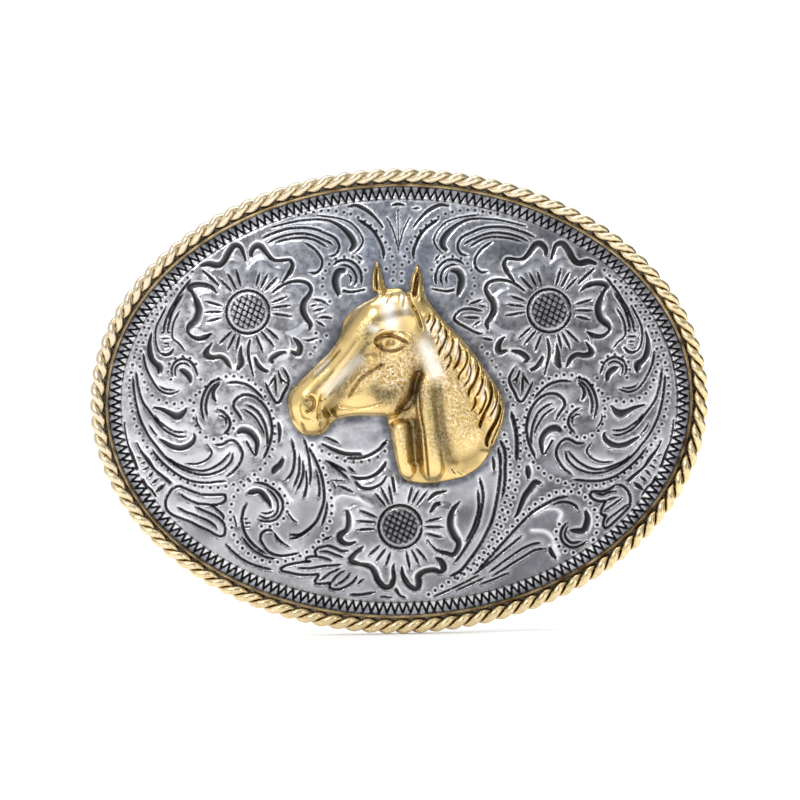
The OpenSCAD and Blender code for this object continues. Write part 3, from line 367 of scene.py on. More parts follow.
# The figure's outline, and its forms as runs of x, y, radius, height
HEAD_OUTLINE = """
-3.2 16.2, -3.8 16.8, -4 18, -3.8 19.5, -3.05 21.6, -2.5 20.6, -2.1 19, -1.6 17.4, -.9 17.2, 0 17.3,
.9 17, 1.6 16.7, 1.9 18.3, 2.4 19.6, 3.1 20.9, 3.7 19.9, 4.1 18.4, 4.3 16.6, 5 15.1, 7 12.5, 9.8 9.5,
12 6.7, 14.3 3.2, 15.5 1.2, 16.2 -.8, 16.1 -2.8, 15.6 -4.7, 14.6 -6.7, 13.4 -8.7, 12 -10.4, 10 -11.6,
8 -12.2, 5 -12.7, 2.6 -12.6, .9 -12.2, 0 -11.5, -.6 -10, -1 -8, -1.4 -5.8, -1.7 -3.9, -2.1 -2.7,
-3.6 -2.4, -6.5 -2.3, -8.9 -2.6, -10.1 -3.1, -10.8 -4, -11.6 -4.8, -13 -5.1, -14.6 -4.9, -15.7 -4.1,
-16.6 -2.7, -17 -1, -17.1 .6, -16.6 1.9, -15.6 2.9, -14.2 4.2, -12.3 6, -10.6 7.7, -9.5 9.3,
-8.8 10.8, -8.3 12.4, -7.2 13.7, -5.6 14.9
"""
HEAD_FORMS = """
-13.9 -.6 3.6 3.1, -13.2 -2.2 2.9 2.8
-13.6 .6 3.3 3.05, -9.6 4.6 3 3.2, -5.4 9.6 3.4 3.8, -3 12.4 4 4.0, 1.4 13.4 3.6 3.7
-4.4 4.4 4.2 3.9, -1.6 2.4 4.4 4.3, .4 7.5 3.8 4.1
-9.8 1 3 2.7, -4 1.2 3.8 3.7
-8.8 -1.3 1.3 2.7, -4.6 -1.2 1.5 3.1, -1.4 -.6 2 3.5
2.8 12.5 3.6 3.5, 5.2 7 4.6 3.7, 7.5 1 6 4.0, 8.6 -4.6 6.4 4.0
4.3 2.6 1.3 3.9, 4.7 -3 1.4 4.0, 4.9 -10.4 1.7 3.2
.2 -4.4 1.5 3.0, .7 -10.6 1.6 2.6
5.4 12.8 2 2.9, 8.8 8.4 2.4 3.4, 12.4 2.8 2.4 3.5, 13.9 -1.8 2.2 3.2, 13 -6 2 2.9
-3.1 16.4 1.2 2.6, -3.05 20.6 .8 1.9
2.9 15.7 1.5 2.9, 3.05 19.8 .8 2.0
"""
# Work on the figure: width and depth in mm (a negative depth is raised), then the points
HEAD_CUTS = """
.4 .5: -3.7 9, -3 9.7, -2 10, -.9 9.95, .3 9.5, 1.7 8.6
.36 .45: -3.5 8.8, -2.4 7.9, -1.3 7.6, -.2 7.7, 1.2 8.3
.9 .25: -2.4 8.8, -.4 8.8
.5 -.14: -3.7 8.7, -2.6 7.6, -1.3 6.95, .1 7.1, 1.2 7.8
.5 -.13: -3.6 9.6, -2.4 10.6, -.8 10.8, .9 10.1, 2.2 9
.8 .3: -4.6 10.9, -4.2 9.8, -4.4 8.8
.3 .3: -12.9 3.9, -11.4 5.2, -9.9 6.8, -8.9 8
1.1 .4: -11.8 .4, -10.6 1.6, -8.7 4.2, -6.6 6.8, -4.6 9.6
.45 .5: -2.2 5.7, -3.8 4.8, -5.6 3.6, -6.8 2.1, -7.7 .6
1.6 .4: -4.6 6.4, -6.6 4.6, -8.6 2.2, -10 0, -10.9 -2
1 .8: 3.4 4.6, 2.7 2.6, 2 .6, 1 -.8, -.4 -1.5
.5 .5: .4 -1.7, -.8 -2.1, -1.9 -2.3
.4 .25: -9.2 -.5, -6.6 -1, -4.4 -.8, -2.6 -.3, -.6 -.4
1.5 .5: -3.6 1.4, -2.4 .8, -1.2 1
.34 .5: 3 1, 3.2 -2, 3.7 -5, 4 -8, 4.3 -11.8
1.3 .6: 1.6 -2.6, 1.7 -5, 1.9 -8, 2.2 -9.6
1.6 .55: 5.9 2, 6 -2, 6.4 -5, 7.4 -8.6
.8 .3: 8 -9.4, 9 -11, 10.2 -11.4
.6 .6: -3.1 20.4, -3.3 19, -3.3 17.8, -3.15 16.9
.7 .7: 3.3 19.6, 3 18.2, 2.7 16.8, 2.6 15.7
.24 .2: -.8 16.6, -1.3 15.6, -1.7 14.6
.24 .2: .2 16.8, .25 14.8
.24 .2: 1.1 16.5, .9 14.1
.24 .2: 1.6 15.8, 2.7 13.8
.36 .4: 1.4 16.6, 2.1 14.8, 2.8 13.6, 3.3 12.2, 3.7 10.6
.5 .5: -14 .9, -13.3 .75, -12.9 .1, -13.1 -.7, -13.8 -1.3, -14.3 -1.2
.8 .45: -14 -.8, -13.6 -.1
.3 .25: -15 .3, -15.1 -1, -14.6 -2.2, -13.2 -2.8
.45 .45: -15 -3, -14.7 -4, -14.6 -4.7
.45 .35: -12 -2.8, -11.9 -4
.5 .4: -11.8 1.2, -12 0, -12.3 -1.4, -12.3 -2.8
.26 .45: 4.9 13.3, 4.8 12.5, 4.3 11.6
.22 .5: 5.7 12.8, 5.6 11.9, 5.1 10.9, 5 10.2
.26 .5: 6.5 12, 6.5 11, 6 10.1
.2 .4: 6.1 10, 6.2 9.2, 5.7 8.3
.26 .6: 7.2 11, 7.4 9.8, 7 8.6, 6.3 7.5, 6.2 6.8
.2 .5: 8.3 9.6, 8.3 8.4, 7.8 7.1, 7.1 6.3
.22 .45: 7.8 7, 8 6.1, 7.6 5.2, 7.2 4.6
.3 .6: 9.2 8.6, 9.4 7.2, 9.1 5.8, 8.4 4.6
.24 .55: 10.3 7.6, 10.5 6.4, 10.1 5.1, 9.2 3.8, 9.1 2.9
.2 .5: 10.8 5.6, 11 4.4, 10.6 3, 9.9 2
.3 .6: 12 5.8, 12.1 4.4, 11.6 2.8, 10.7 1.4, 10.6 .4
.2 .5: 12.6 3.6, 12.7 2.5, 12.2 1.2, 11.6 .4
.22 .5: 11.5 .5, 11.6 -.4, 11.2 -1.4, 10.9 -1.7
.26 .5: 13 1.6, 13.2 .2, 12.7 -1.3, 12.1 -2.3
.4 .8: 13.7 3.2, 14.1 1.4, 13.8 -.4, 13 -2, 12.3 -3.7, 12.3 -4.4
.24 .6: 14.9 1.8, 15 .2, 14.5 -1.4, 13.7 -2.7
.45 .85: 15.3 -.4, 15.3 -2, 14.6 -3.6, 13.7 -5, 13.2 -6.4, 13.4 -7.3
.24 .6: 15.8 -1.6, 15.4 -3.4, 14.7 -5, 13.9 -6.9
.16 .2: 7.8 10.6, 7.5 9, 7.1 7.6
.16 .2: 9.3 9, 9.1 7.6, 8.6 6
.16 .2: 11.1 7, 10.8 5.4, 10.2 3.6
.16 .2: 13.2 4.4, 12.8 3, 12.2 1.4
.16 .2: 14.3 1.6, 13.9 0, 13.3 -1.8
.8 -.3: 5.3 13, 5 11.8, 4.6 10.8
.8 -.3: 6.2 12.2, 5.7 10.9, 5.3 9.9
.9 -.35: 7 11.2, 6.5 9.6, 6 8.2
.9 -.35: 7.9 10.4, 7.4 8.2, 6.8 6.4
1.1 -.5: 9.3 9.2, 8.6 7.2, 8 5
.9 -.35: 10.6 7.6, 10 5.6, 9.3 3.4
1.1 -.5: 11.6 6.2, 11.2 4, 10.4 1.6
.9 -.4: 12.7 5, 12.1 2.6, 11.2 0
1.2 -.5: 13.4 3.8, 13.1 1.4, 12.1 -1.6
.8 -.35: 14.4 2.4, 14 .6, 13 -2.4
.8 -.35: 15.2 1, 14.8 -1, 13.8 -4
.7 -.3: 15.8 -1.6, 15 -4, 13.8 -6.4
"""

# Painted shade on the figure, a dark olive over its recesses and slopes: width and strength, then the points
HEAD_PAINTED_SHADES = """
1.7 .6: -10.9 -2.5, -10 .2, -8.6 3, -6.6 6.2, -4.6 9.6, -3.9 11
1.9 .75: -3.6 1.8, -2.4 .8, -1.1 1
1.5 .65: 1.8 -3.4, 1.7 -6, 1.9 -8.8
2 .7: 5.4 1.4, 5.9 -3, 6.6 -7, 7.6 -9.4
1.6 .5: 3.2 5, 2.4 2, 1.4 -.4, .2 -1.6
1.6 .4: -5.2 14, -7.2 12.2, -8.4 10
1.4 .4: 10 -9.4, 12 -8, 13.6 -5
2 .3: .6 11.6, 2.6 9, 3.6 5
1.2 .35: -13.4 -.6, -14 .2
"""

# Brown in the figure's hollows, partly patina and partly painted shade, in the same way
HEAD_BROWNS = """
.34 .85: -3.5 8.9, -2.6 9.5, -1.4 9.8, -.2 9.6, .9 8.9
.26 .5: -3.4 8.7, -2.4 8.1, -1.2 7.8, 0 8, 1 8.5
.7 .6: -1.5 8.8, -.6 8.8
.36 .8: -2.6 8.7, -2.4 8.4
.6 1: -3.1 20.2, -3.25 18.8, -3.1 17.2
.7 1: 3.2 19.4, 3 18, 2.6 16.2
1.3 .55: 3 4.6, 2.4 2.4, 1.6 .4, .2 -1.2
.5 .6: -12.9 3.9, -11 5.6, -9 7.8
1.1 .42: -14.1 -.2, -13.5 -1
.6 .5: -14.8 -3.4, -14.6 -4.4
.8 .5: -11.8 -3.4, -12 -4.4
2.2 .32: -10.4 -1.5, -8.8 1.6, -6.9 4.6, -5 7.4
1.4 .4: 2.2 -2.4, 2.6 -6, 3 -11
1 .35: 9.6 -10.6, 11.6 -9.6
"""

# Painted highlights on the figure, a pale near-white, in the same way
HEAD_PAINTED_GLINTS = """
1.7 .85: -1.4 14.4, -1.2 13, -1 11.8
1.1 .5: .8 15.6, 1.2 13.6
.8 .7: -3.9 11.2, -3.4 11
1.8 .75: 4.2 8.4, 4.8 6.4, 5.6 4.4
1.1 .5: 5 11.6, 4.6 10
1.2 .5: -6 6.4, -8.6 4, -11 1.8
.6 .6: -10.6 6.2, -12.4 4.4
.9 .6: 5.8 11.6, 6.6 9.4, 7.6 7.6
.8 .5: 8.6 8.4, 9.4 6.2
.8 .55: 10.8 5, 11.2 3
.8 .5: 12.6 2, 12.8 .2
.6 .5: 14.6 -.6, 14.2 -2.6
"""


# ---------------------------------------------------------------- shapes


def dome(p, radius):
    """Height of a dome over points p: the common centre's height plus sqrt(R^2 - x^2 - y^2)."""
    return DOME_Z + np.sqrt(radius * radius - (p[:, :2] ** 2).sum(axis=1))


def upright(p):
    """Face-up millimetres to the frame's metres: (x, y, z) becomes (x, -z, y) / 1000."""
    return np.column_stack([p[:, 0], -p[:, 2], p[:, 1]]) / 1000.0


def numbers(line):
    """A line of points, parted by commas, as an array with a row for each point."""
    return np.array([[float(v) for v in q.split()] for q in line.split(",")])


def smooth_path(points, step, closed=False):
    """A curve through the points, resampled evenly: on each span the Catmull-Rom cubic, which takes
    its end slopes from the neighbouring points."""
    p = np.asarray(points, float)
    if closed:
        q = np.vstack([p[-1], p, p[0], p[1]])
    else:
        q = np.vstack([2 * p[0] - p[1], p, 2 * p[-1] - p[-2]])
    t = np.linspace(0, 1, 12, endpoint=False)[None, :, None]
    a, b, c, d = (q[i : len(q) - 3 + i, None, :] for i in range(4))
    s = 0.5 * (2 * b + (c - a) * t + (2 * a - 5 * b + 4 * c - d) * t**2 + (3 * b - a - 3 * c + d) * t**3)
    s = np.vstack([s.reshape(-1, p.shape[1]), p[:1] if closed else p[-1:]])
    return even(s, step)


def even(s, step):
    """A polyline resampled so that its points lie about one step apart along it."""
    run = np.concatenate([[0], np.cumsum(np.hypot(*np.diff(s[:, :2], axis=0).T))])
    n = max(int(round(run[-1] / step)), 2)
    at = np.linspace(0, run[-1], n + 1)
    return np.column_stack([np.interp(at, run, s[:, i]) for i in range(s.shape[1])])


def near_path(p, path, reach):
    """For points p: which lie within reach of the path's box, their distance to the path, the path's
    share along where it is nearest, and on which side of it they lie."""
    lo, hi = path[:, :2].min(axis=0) - reach, path[:, :2].max(axis=0) + reach
    here = np.nonzero(((p > lo) & (p < hi)).all(axis=1))[0]
    a, b = path[:-1, :2], path[1:, :2]
    ab = b - a
    length = np.maximum((ab**2).sum(axis=1), 1e-12)
    ap = p[here][:, None, :] - a[None]
    t = np.clip((ap * ab).sum(axis=2) / length, 0, 1)
    off = ap - t[:, :, None] * ab
    d2 = (off**2).sum(axis=2)
    k = d2.argmin(axis=1)
    row = np.arange(len(here))
    side = np.sign(ab[k, 0] * off[row, k, 1] - ab[k, 1] * off[row, k, 0])
    return here, np.sqrt(d2[row, k]), k + t[row, k], side


def whole_distance(p, closed):
    """Distance of every point to a closed line, worked out in blocks."""
    out = np.zeros(len(p))
    a, ab = closed[:-1], np.diff(closed, axis=0)
    length = np.maximum((ab**2).sum(axis=1), 1e-12)
    for lo in range(0, len(p), 6000):
        ap = p[lo : lo + 6000, None, :] - a[None]
        t = np.clip((ap * ab).sum(axis=2) / length, 0, 1)
        out[lo : lo + 6000] = np.sqrt((((ap - t[:, :, None] * ab) ** 2).sum(axis=2)).min(axis=1))
    return out


def inside(p, ring):
    """Which points lie inside a closed ring, by counting the edges that a ray to the right crosses."""
    hit = np.zeros(len(p), bool)
    a, b = ring, np.roll(ring, -1, axis=0)
    for lo in range(0, len(p), 8000):
        x, y = p[lo : lo + 8000, 0, None], p[lo : lo + 8000, 1, None]
        crosses = (a[:, 1] > y) != (b[:, 1] > y)
        dy = np.where(b[:, 1] == a[:, 1], 1e-9, b[:, 1] - a[:, 1])
        at = a[:, 0] + (y - a[:, 1]) * (b[:, 0] - a[:, 0]) / dy
        hit[lo : lo + 8000] = ((crosses & (x < at)).sum(axis=1) % 2) == 1
    return hit


def oval(size, n, turn=0.0):
    """n points of an ellipse with half axes size, evenly spaced along its length."""
    t = np.linspace(0, 2 * math.pi, 4001)
    p = np.column_stack([size[0] * np.cos(t), size[1] * np.sin(t)])
    run = np.concatenate([[0], np.cumsum(np.hypot(*np.diff(p, axis=0).T))])
    at = (np.arange(n) + turn) % n / n * run[-1]
    return np.column_stack([np.interp(at, run, p[:, 0]), np.interp(at, run, p[:, 1])])


def thinned(p, gap):
    """The points with at most one in each square of side gap; earlier points win."""
    _, first = np.unique(np.floor(p / gap).astype(int), axis=0, return_index=True)
    return p[np.sort(first)]


def hexagons(size, gap):
    """Points of a triangular grid with the given gap that fills a box of half axes size."""
    nx, ny = int(size[0] / gap) + 1, int(size[1] / (gap * 0.866)) + 1
    x, y = np.meshgrid(np.arange(-nx, nx + 1) * gap, np.arange(-ny, ny + 1))
    x = x + (y % 2) * gap / 2
    return np.column_stack([x.ravel(), y.ravel() * gap * 0.866])


def triangles(p):
    """The Delaunay triangles over flat points, whose circles hold no other point, facing up."""
    out = delaunay_2d_cdt([Vector(v) for v in p.tolist()], [], [], 0, 1e-6)
    flat = np.array([v[:] for v in out[0]])
    return flat, np.array(out[2])


def wave(p, scale, seed):
    """A smooth random height between about -1 and 1 over points p: a sum of sine waves with
    directions and phases drawn from the seed and lengths about the given scale."""
    rng = np.random.default_rng(seed)
    total = np.zeros(len(p))
    for _ in range(9):
        a, ph = rng.uniform(0, 2 * math.pi, 2)
        k = 2 * math.pi / (scale * rng.uniform(0.7, 1.5))
        total += np.sin(k * (p[:, 0] * math.cos(a) + p[:, 1] * math.sin(a)) + ph)
    return total / 4.0


def step(lo, hi, v):
    """0 below lo, 1 above hi, and 3t^2 - 2t^3 between them."""
    t = np.clip((v - lo) / (hi - lo), 0, 1)
    return t * t * (3 - 2 * t)


def make_piece(name, points, faces, body, nodes, slot, material, values=None):
    """A mesh object from flat millimetre points and faces, with point values as float attributes,
    riding on a body and standing for CAD nodes."""
    mesh = bpy.data.meshes.new(name)
    mesh.from_pydata(upright(points).tolist(), [], [list(f) for f in faces])
    mesh.validate()
    mesh.polygons.foreach_set("use_smooth", np.ones(len(mesh.polygons), bool))
    for key, v in (values or {}).items():
        mesh.attributes.new(key, "FLOAT", "POINT").data.foreach_set("value", v.astype(np.float32))
    mesh.materials.append(material)
    mesh.update()
    obj = bpy.data.objects.new(name, mesh)
    bpy.context.scene.collection.objects.link(obj)
    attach(obj, body)
    if nodes:
        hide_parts(*nodes)
    return obj


def outward(obj):
    """Turns the faces of a closed mesh outwards."""
    bm = bmesh.new()
    bm.from_mesh(obj.data)
    bmesh.ops.recalc_face_normals(bm, faces=bm.faces)
    bm.to_mesh(obj.data)
    bm.free()
    return obj


def grid_faces(rows, cols, wrap_rows, wrap_cols, start=0):
    """Quads between neighbouring rows and columns of a grid of points."""
    r = np.arange(rows if wrap_rows else rows - 1)[:, None]
    c = np.arange(cols if wrap_cols else cols - 1)[None, :]
    r2, c2 = (r + 1) % rows, (c + 1) % cols
    quads = np.stack([r * cols + c, r * cols + c2, r2 * cols + c2, r2 * cols + c], axis=-1)
    return quads.reshape(-1, 4) + start


def swept(path, radius, sides, closed):
    """A round bar: circles of the given radius square to the path, each starting level. The ends of
    an open bar are left open."""
    n = len(path)
    if closed:
        t = np.roll(path, -1, axis=0) - np.roll(path, 1, axis=0)
    else:
        t = np.gradient(path, axis=0)
    t /= np.linalg.norm(t, axis=1)[:, None]
    up = np.array([0.0, 0.0, 1.0])
    n1 = np.cross(t, up)
    bad = np.linalg.norm(n1, axis=1) < 1e-6
    n1[bad] = [1.0, 0, 0]
    n1 /= np.linalg.norm(n1, axis=1)[:, None]
    n2 = np.cross(n1, t)
    a = np.linspace(0, 2 * math.pi, sides, endpoint=False)
    r = np.broadcast_to(radius, (n,))[:, None, None]
    ring = np.cos(a)[None, :, None] * n1[:, None] + np.sin(a)[None, :, None] * n2[:, None]
    pts = (path[:, None] + r * ring).reshape(-1, 3)
    return pts, grid_faces(n, sides, closed, True).tolist()


# ---------------------------------------------------------------- metals


class Nodes:
    """A metal's or the floor's material, with short ways to add and join its nodes."""

    def __init__(self, name):
        self.mat = bpy.data.materials.new(name)
        self.mat.use_nodes = True
        self.tree = self.mat.node_tree
        self.shader = self.tree.nodes["Principled BSDF"]
        self.coords = self.add("ShaderNodeTexCoord").outputs["Object"]

    def add(self, kind, **settings):
        """A new node with its settings."""
        node = self.tree.nodes.new(kind)
        for k, v in settings.items():
            setattr(node, k, v)
        return node

    def join(self, a, b):
        """Links one socket to another."""
        self.tree.links.new(a, b)

    def value(self, name):
        """A point value of the mesh."""
        return self.add("ShaderNodeAttribute", attribute_name=name).outputs["Fac"]

    def noise(self, scale, detail=3.0, rough=0.55, stretch=None):
        """Even mottling of a size, drawn out along an axis if asked."""
        n = self.add("ShaderNodeTexNoise")
        n.inputs["Scale"].default_value = scale
        n.inputs["Detail"].default_value = detail
        n.inputs["Roughness"].default_value = rough
        if stretch:
            m = self.add("ShaderNodeMapping")
            m.inputs["Scale"].default_value = stretch
            self.join(self.coords, m.inputs["Vector"])
            self.join(m.outputs["Vector"], n.inputs["Vector"])
        else:
            self.join(self.coords, n.inputs["Vector"])
        return n.outputs["Fac"]

    def span(self, value, a, b, c, d):
        """A value carried from one range to another."""
        n = self.add("ShaderNodeMapRange")
        for i, v in zip((1, 2, 3, 4), (a, b, c, d)):
            n.inputs[i].default_value = v
        self.join(value, n.inputs[0])
        return n.outputs[0]

    def ramp(self, value, stops):
        """A value turned into colours."""
        n = self.add("ShaderNodeValToRGB")
        while len(n.color_ramp.elements) < len(stops):
            n.color_ramp.elements.new(0.5)
        for e, (at, rgb) in zip(n.color_ramp.elements, stops):
            e.position = at
            e.color = (*rgb, 1)
        self.join(value, n.inputs[0])
        return n.outputs[0]

    def math(self, how, a, b):
        """One sum on two values."""
        n = self.add("ShaderNodeMath", operation=how)
        for i, v in enumerate((a, b)):
            if isinstance(v, (int, float)):
                n.inputs[i].default_value = v
            else:
                self.join(v, n.inputs[i])
        return n.outputs[0]

    def mix(self, share, a, b):
        """Two colours mixed by a share."""
        n = self.add("ShaderNodeMix", data_type="RGBA")
        for i, v in ((0, share), (6, a), (7, b)):
            if isinstance(v, tuple):
                n.inputs[i].default_value = (*v, 1)
            elif isinstance(v, (int, float)):
                n.inputs[i].default_value = v
            else:
                self.join(v, n.inputs[i])
        return n.outputs[2]

    def bump(self, height, strength, distance):
        """Fine height for the shader, which a value gives."""
        n = self.add("ShaderNodeBump")
        n.inputs["Strength"].default_value = strength
        n.inputs["Distance"].default_value = distance
        self.join(height, n.inputs["Height"])
        self.join(n.outputs["Normal"], self.shader.inputs["Normal"])


def silver_metal(tint):
    """Bright plated silver with mottled tarnish on its ground, partly painted shade, and blackened cuts and
    punches;
    the scoops' black is partly a painted dark reflection. Painted shade darkens it to the right and bottom,
    a painted blue reflection tints its top, and painted highlights whiten the edges of its strokes."""
    m = Nodes("Antiqued silver")
    s = m.shader
    s.inputs["Metallic"].default_value = 1.0
    blotch = m.noise(260, 3)
    fine = m.noise(1300, 2)
    mottle = m.mix(0.4, blotch, fine)
    bright = m.ramp(mottle, [(0.34, tuple(0.86 * c for c in tint)), (0.5, tint), (0.66, (0.9, 0.9, 0.92))])
    dull = [(0.34, (0.07, 0.073, 0.09)), (0.5, (0.2, 0.207, 0.24)), (0.68, (0.55, 0.56, 0.61))]
    ground = m.ramp(mottle, dull)
    # patina on the matted ground, plus painted shade by region and round the figure
    colour = m.mix(m.value("patina_and_painted_shade"), bright, ground)
    # painted shade: darker towards the right and bottom, lighter at the top centre
    colour = m.mix(m.value("painted_shade"), colour, (0.1, 0.098, 0.108))
    # painted reflection: a bluish tint at the top centre
    colour = m.mix(m.value("painted_blue_reflection"), colour, (0.3, 0.35, 0.47))
    # painted highlight: near white along stroke burrs, ridges and punch rings
    colour = m.mix(m.value("painted_highlight"), colour, (0.96, 0.96, 0.98))
    # black oxide in cuts and punches; in the scoops partly a painted dark reflection
    colour = m.mix(m.value("oxide_and_painted_dark"), colour, (0.012, 0.011, 0.012))
    m.join(colour, s.inputs["Base Color"])
    rough = m.span(fine, 0.3, 0.7, 0.16, 0.34)
    rough = m.math("ADD", rough, m.math("MULTIPLY", m.value("patina_and_painted_shade"), 0.14))
    rough = m.math("ADD", rough, m.math("MULTIPLY", m.value("oxide_and_painted_dark"), 0.3))
    m.join(rough, s.inputs["Roughness"])
    m.bump(m.mix(0.5, blotch, fine), 0.3, 0.0001)
    return m.mat


def rim_metal(tint):
    """Polished gold plate whose hollows, where the crest value is low, keep a brown-black tarnish; where the
    pale value is high, painted light mixes in a paler grey-gold.
    """
    m = Nodes("Rim gold")
    s = m.shader
    s.inputs["Metallic"].default_value = 1.0
    fine = m.noise(1500, 3)
    gold = m.ramp(fine, [(0.3, tuple(0.74 * c for c in tint)), (0.6, tint), (0.8, (0.98, 0.9, 0.7))])
    pale = m.mix(0.42, gold, (0.66, 0.62, 0.55))
    # painted light: a paler grey-gold towards the upper left
    gold = m.mix(m.value("pale"), m.mix(0.04, gold, (0.1, 0.07, 0.03)), pale)
    colour = m.mix(m.span(m.value("crest"), 0.02, 0.3, 1.0, 0.0), gold, (0.075, 0.036, 0.01))
    m.join(colour, s.inputs["Base Color"])
    m.join(m.span(fine, 0.3, 0.7, 0.2, 0.36), s.inputs["Roughness"])
    m.bump(m.noise(1100, 3), 0.25, 0.00007)
    return m.mat


def figure_metal(tint):
    """Cast and plated gold: polished on its high forms, sparkling with cast grain elsewhere, with painted
    olive shade, painted highlights, and a brown tarnish in its hollows that is partly painted shade.
    """
    m = Nodes("Figure gold")
    s = m.shader
    s.inputs["Metallic"].default_value = 1.0
    grain = m.value("grain")
    crumbs = m.noise(2300, 3, 0.7)
    gold = m.ramp(m.noise(160, 3), [(0.3, tuple(0.86 * c for c in tint)), (0.7, tint)])
    crumb = m.ramp(crumbs, [(0.36, (0.16, 0.1, 0.03)), (0.5, (0.7, 0.48, 0.2)), (0.6, (1.0, 0.94, 0.76))])
    colour = m.mix(m.math("MULTIPLY", grain, 0.9), gold, crumb)
    # painted shade: dark olive over the figure's recesses and slopes
    colour = m.mix(m.value("painted_olive_shade"), colour, (0.13, 0.11, 0.05))
    # painted highlight: near white on the forehead, nose, neck and mane
    colour = m.mix(m.value("painted_glint"), colour, (1.0, 0.98, 0.93))
    # brown patina and painted shade in the figure's hollows, grooves and round its edge
    colour = m.mix(m.value("hollow"), colour, (0.055, 0.022, 0.005))
    m.join(colour, s.inputs["Base Color"])
    rough = m.math("ADD", m.math("MULTIPLY", grain, 0.12), m.span(m.noise(700, 2), 0.3, 0.7, 0.16, 0.28))
    rough = m.math("ADD", rough, m.math("MULTIPLY", m.value("painted_glint"), 0.2))
    m.join(rough, s.inputs["Roughness"])
    height = m.math("MULTIPLY", crumbs, m.math("ADD", grain, 0.06))
    m.bump(height, 1.0, 0.00036)
    return m.mat


def plain_metal(name, light, dark, stretch, rough, scale=500.0):
    """Plain worked metal: streaks or mottling in colour, roughness and bump, drawn out along an axis."""
    m = Nodes(name)
    s = m.shader
    s.inputs["Metallic"].default_value = 1.0
    streak = m.noise(scale, 4, 0.6, stretch)
    spots = m.noise(160, 3)
    bright = tuple(min(1.1 * c, 1) for c in light)
    colour = m.ramp(m.mix(0.4, streak, spots), [(0.3, dark), (0.55, light), (0.8, bright)])
    m.join(colour, s.inputs["Base Color"])
    m.join(m.span(streak, 0.3, 0.7, rough[0], rough[1]), s.inputs["Roughness"])
    m.bump(streak, 0.25, 0.00004)
    return m.mat


# ---------------------------------------------------------------- the chased face


def mirrored(p):
    """Points mirrored about the artwork's axis: x is reversed, and the whole is then turned by twice
    the axis's tilt."""
    c, s = math.cos(2 * AXIS_TILT), math.sin(2 * AXIS_TILT)
    out = p.copy()
    out[:, 0] = -p[:, 0] * c + p[:, 1] * s
    out[:, 1] = p[:, 0] * s + p[:, 1] * c
    return out


def strokes():
    """The engraver's strokes as (kind, points, width), with the paired ones on both sides."""
    out = []
    for text, paired in ((PAIRED_STROKES, True), (FLOWER_STROKES, True), (SINGLE_STROKES, False)):
        for line in text.strip().replace("\n    ", " ").split("\n"):
            head, body = line.split(":")
            kind, *width = head.split()
            p = numbers(body)
            w = float(width[0]) if width else 0.4
            out.append((kind, p, w))
            if paired:
                out.append((kind, mirrored(p), w))
    for c in FLOWERS:
        a = np.linspace(0, 2 * math.pi, 24)
        out.append(("cut", np.column_stack([c[0] + DISC * np.cos(a), c[1] + DISC * np.sin(a)]), 0.38))
    return out


def beside(path, half, rows):
    """Points along a path at the given multiples of its half width to either side."""
    t = np.gradient(path[:, :2], axis=0)
    t /= np.maximum(np.linalg.norm(t, axis=1), 1e-9)[:, None]
    n = np.column_stack([-t[:, 1], t[:, 0]])
    return np.vstack([path[:, :2] + (k * half)[:, None] * n for k in rows])


def spots(c, radius, n):
    """n points of a circle round each centre."""
    a = np.linspace(0, 2 * math.pi, n, endpoint=False)
    return (c[:, None] + radius * np.column_stack([np.cos(a), np.sin(a)])[None]).reshape(-1, 2)


def rim_distance(p):
    """Distance inward from the buckle's outline, measured from the oval in the middle of the zigzag:
    (1 - q) over the slope of q, where q = sqrt((x/a)^2 + (y/b)^2)."""
    a, b = OUTER - BORDER_MID
    q = np.sqrt((p[:, 0] / a) ** 2 + (p[:, 1] / b) ** 2)
    slope = np.sqrt(p[:, 0] ** 2 / a**4 + p[:, 1] ** 2 / b**4) / np.maximum(q, 1e-6)
    return BORDER_MID + (1 - q) / np.maximum(slope, 1e-3)


def zigzag(teeth):
    """The border's zigzag: a closed line that steps between two ovals at even steps of their length."""
    outer, inner = oval(OUTER - (BORDER_MID - 0.78), teeth), oval(OUTER - (BORDER_MID + 0.78), teeth, 0.5)
    return np.stack([outer, inner], axis=1).reshape(-1, 2)


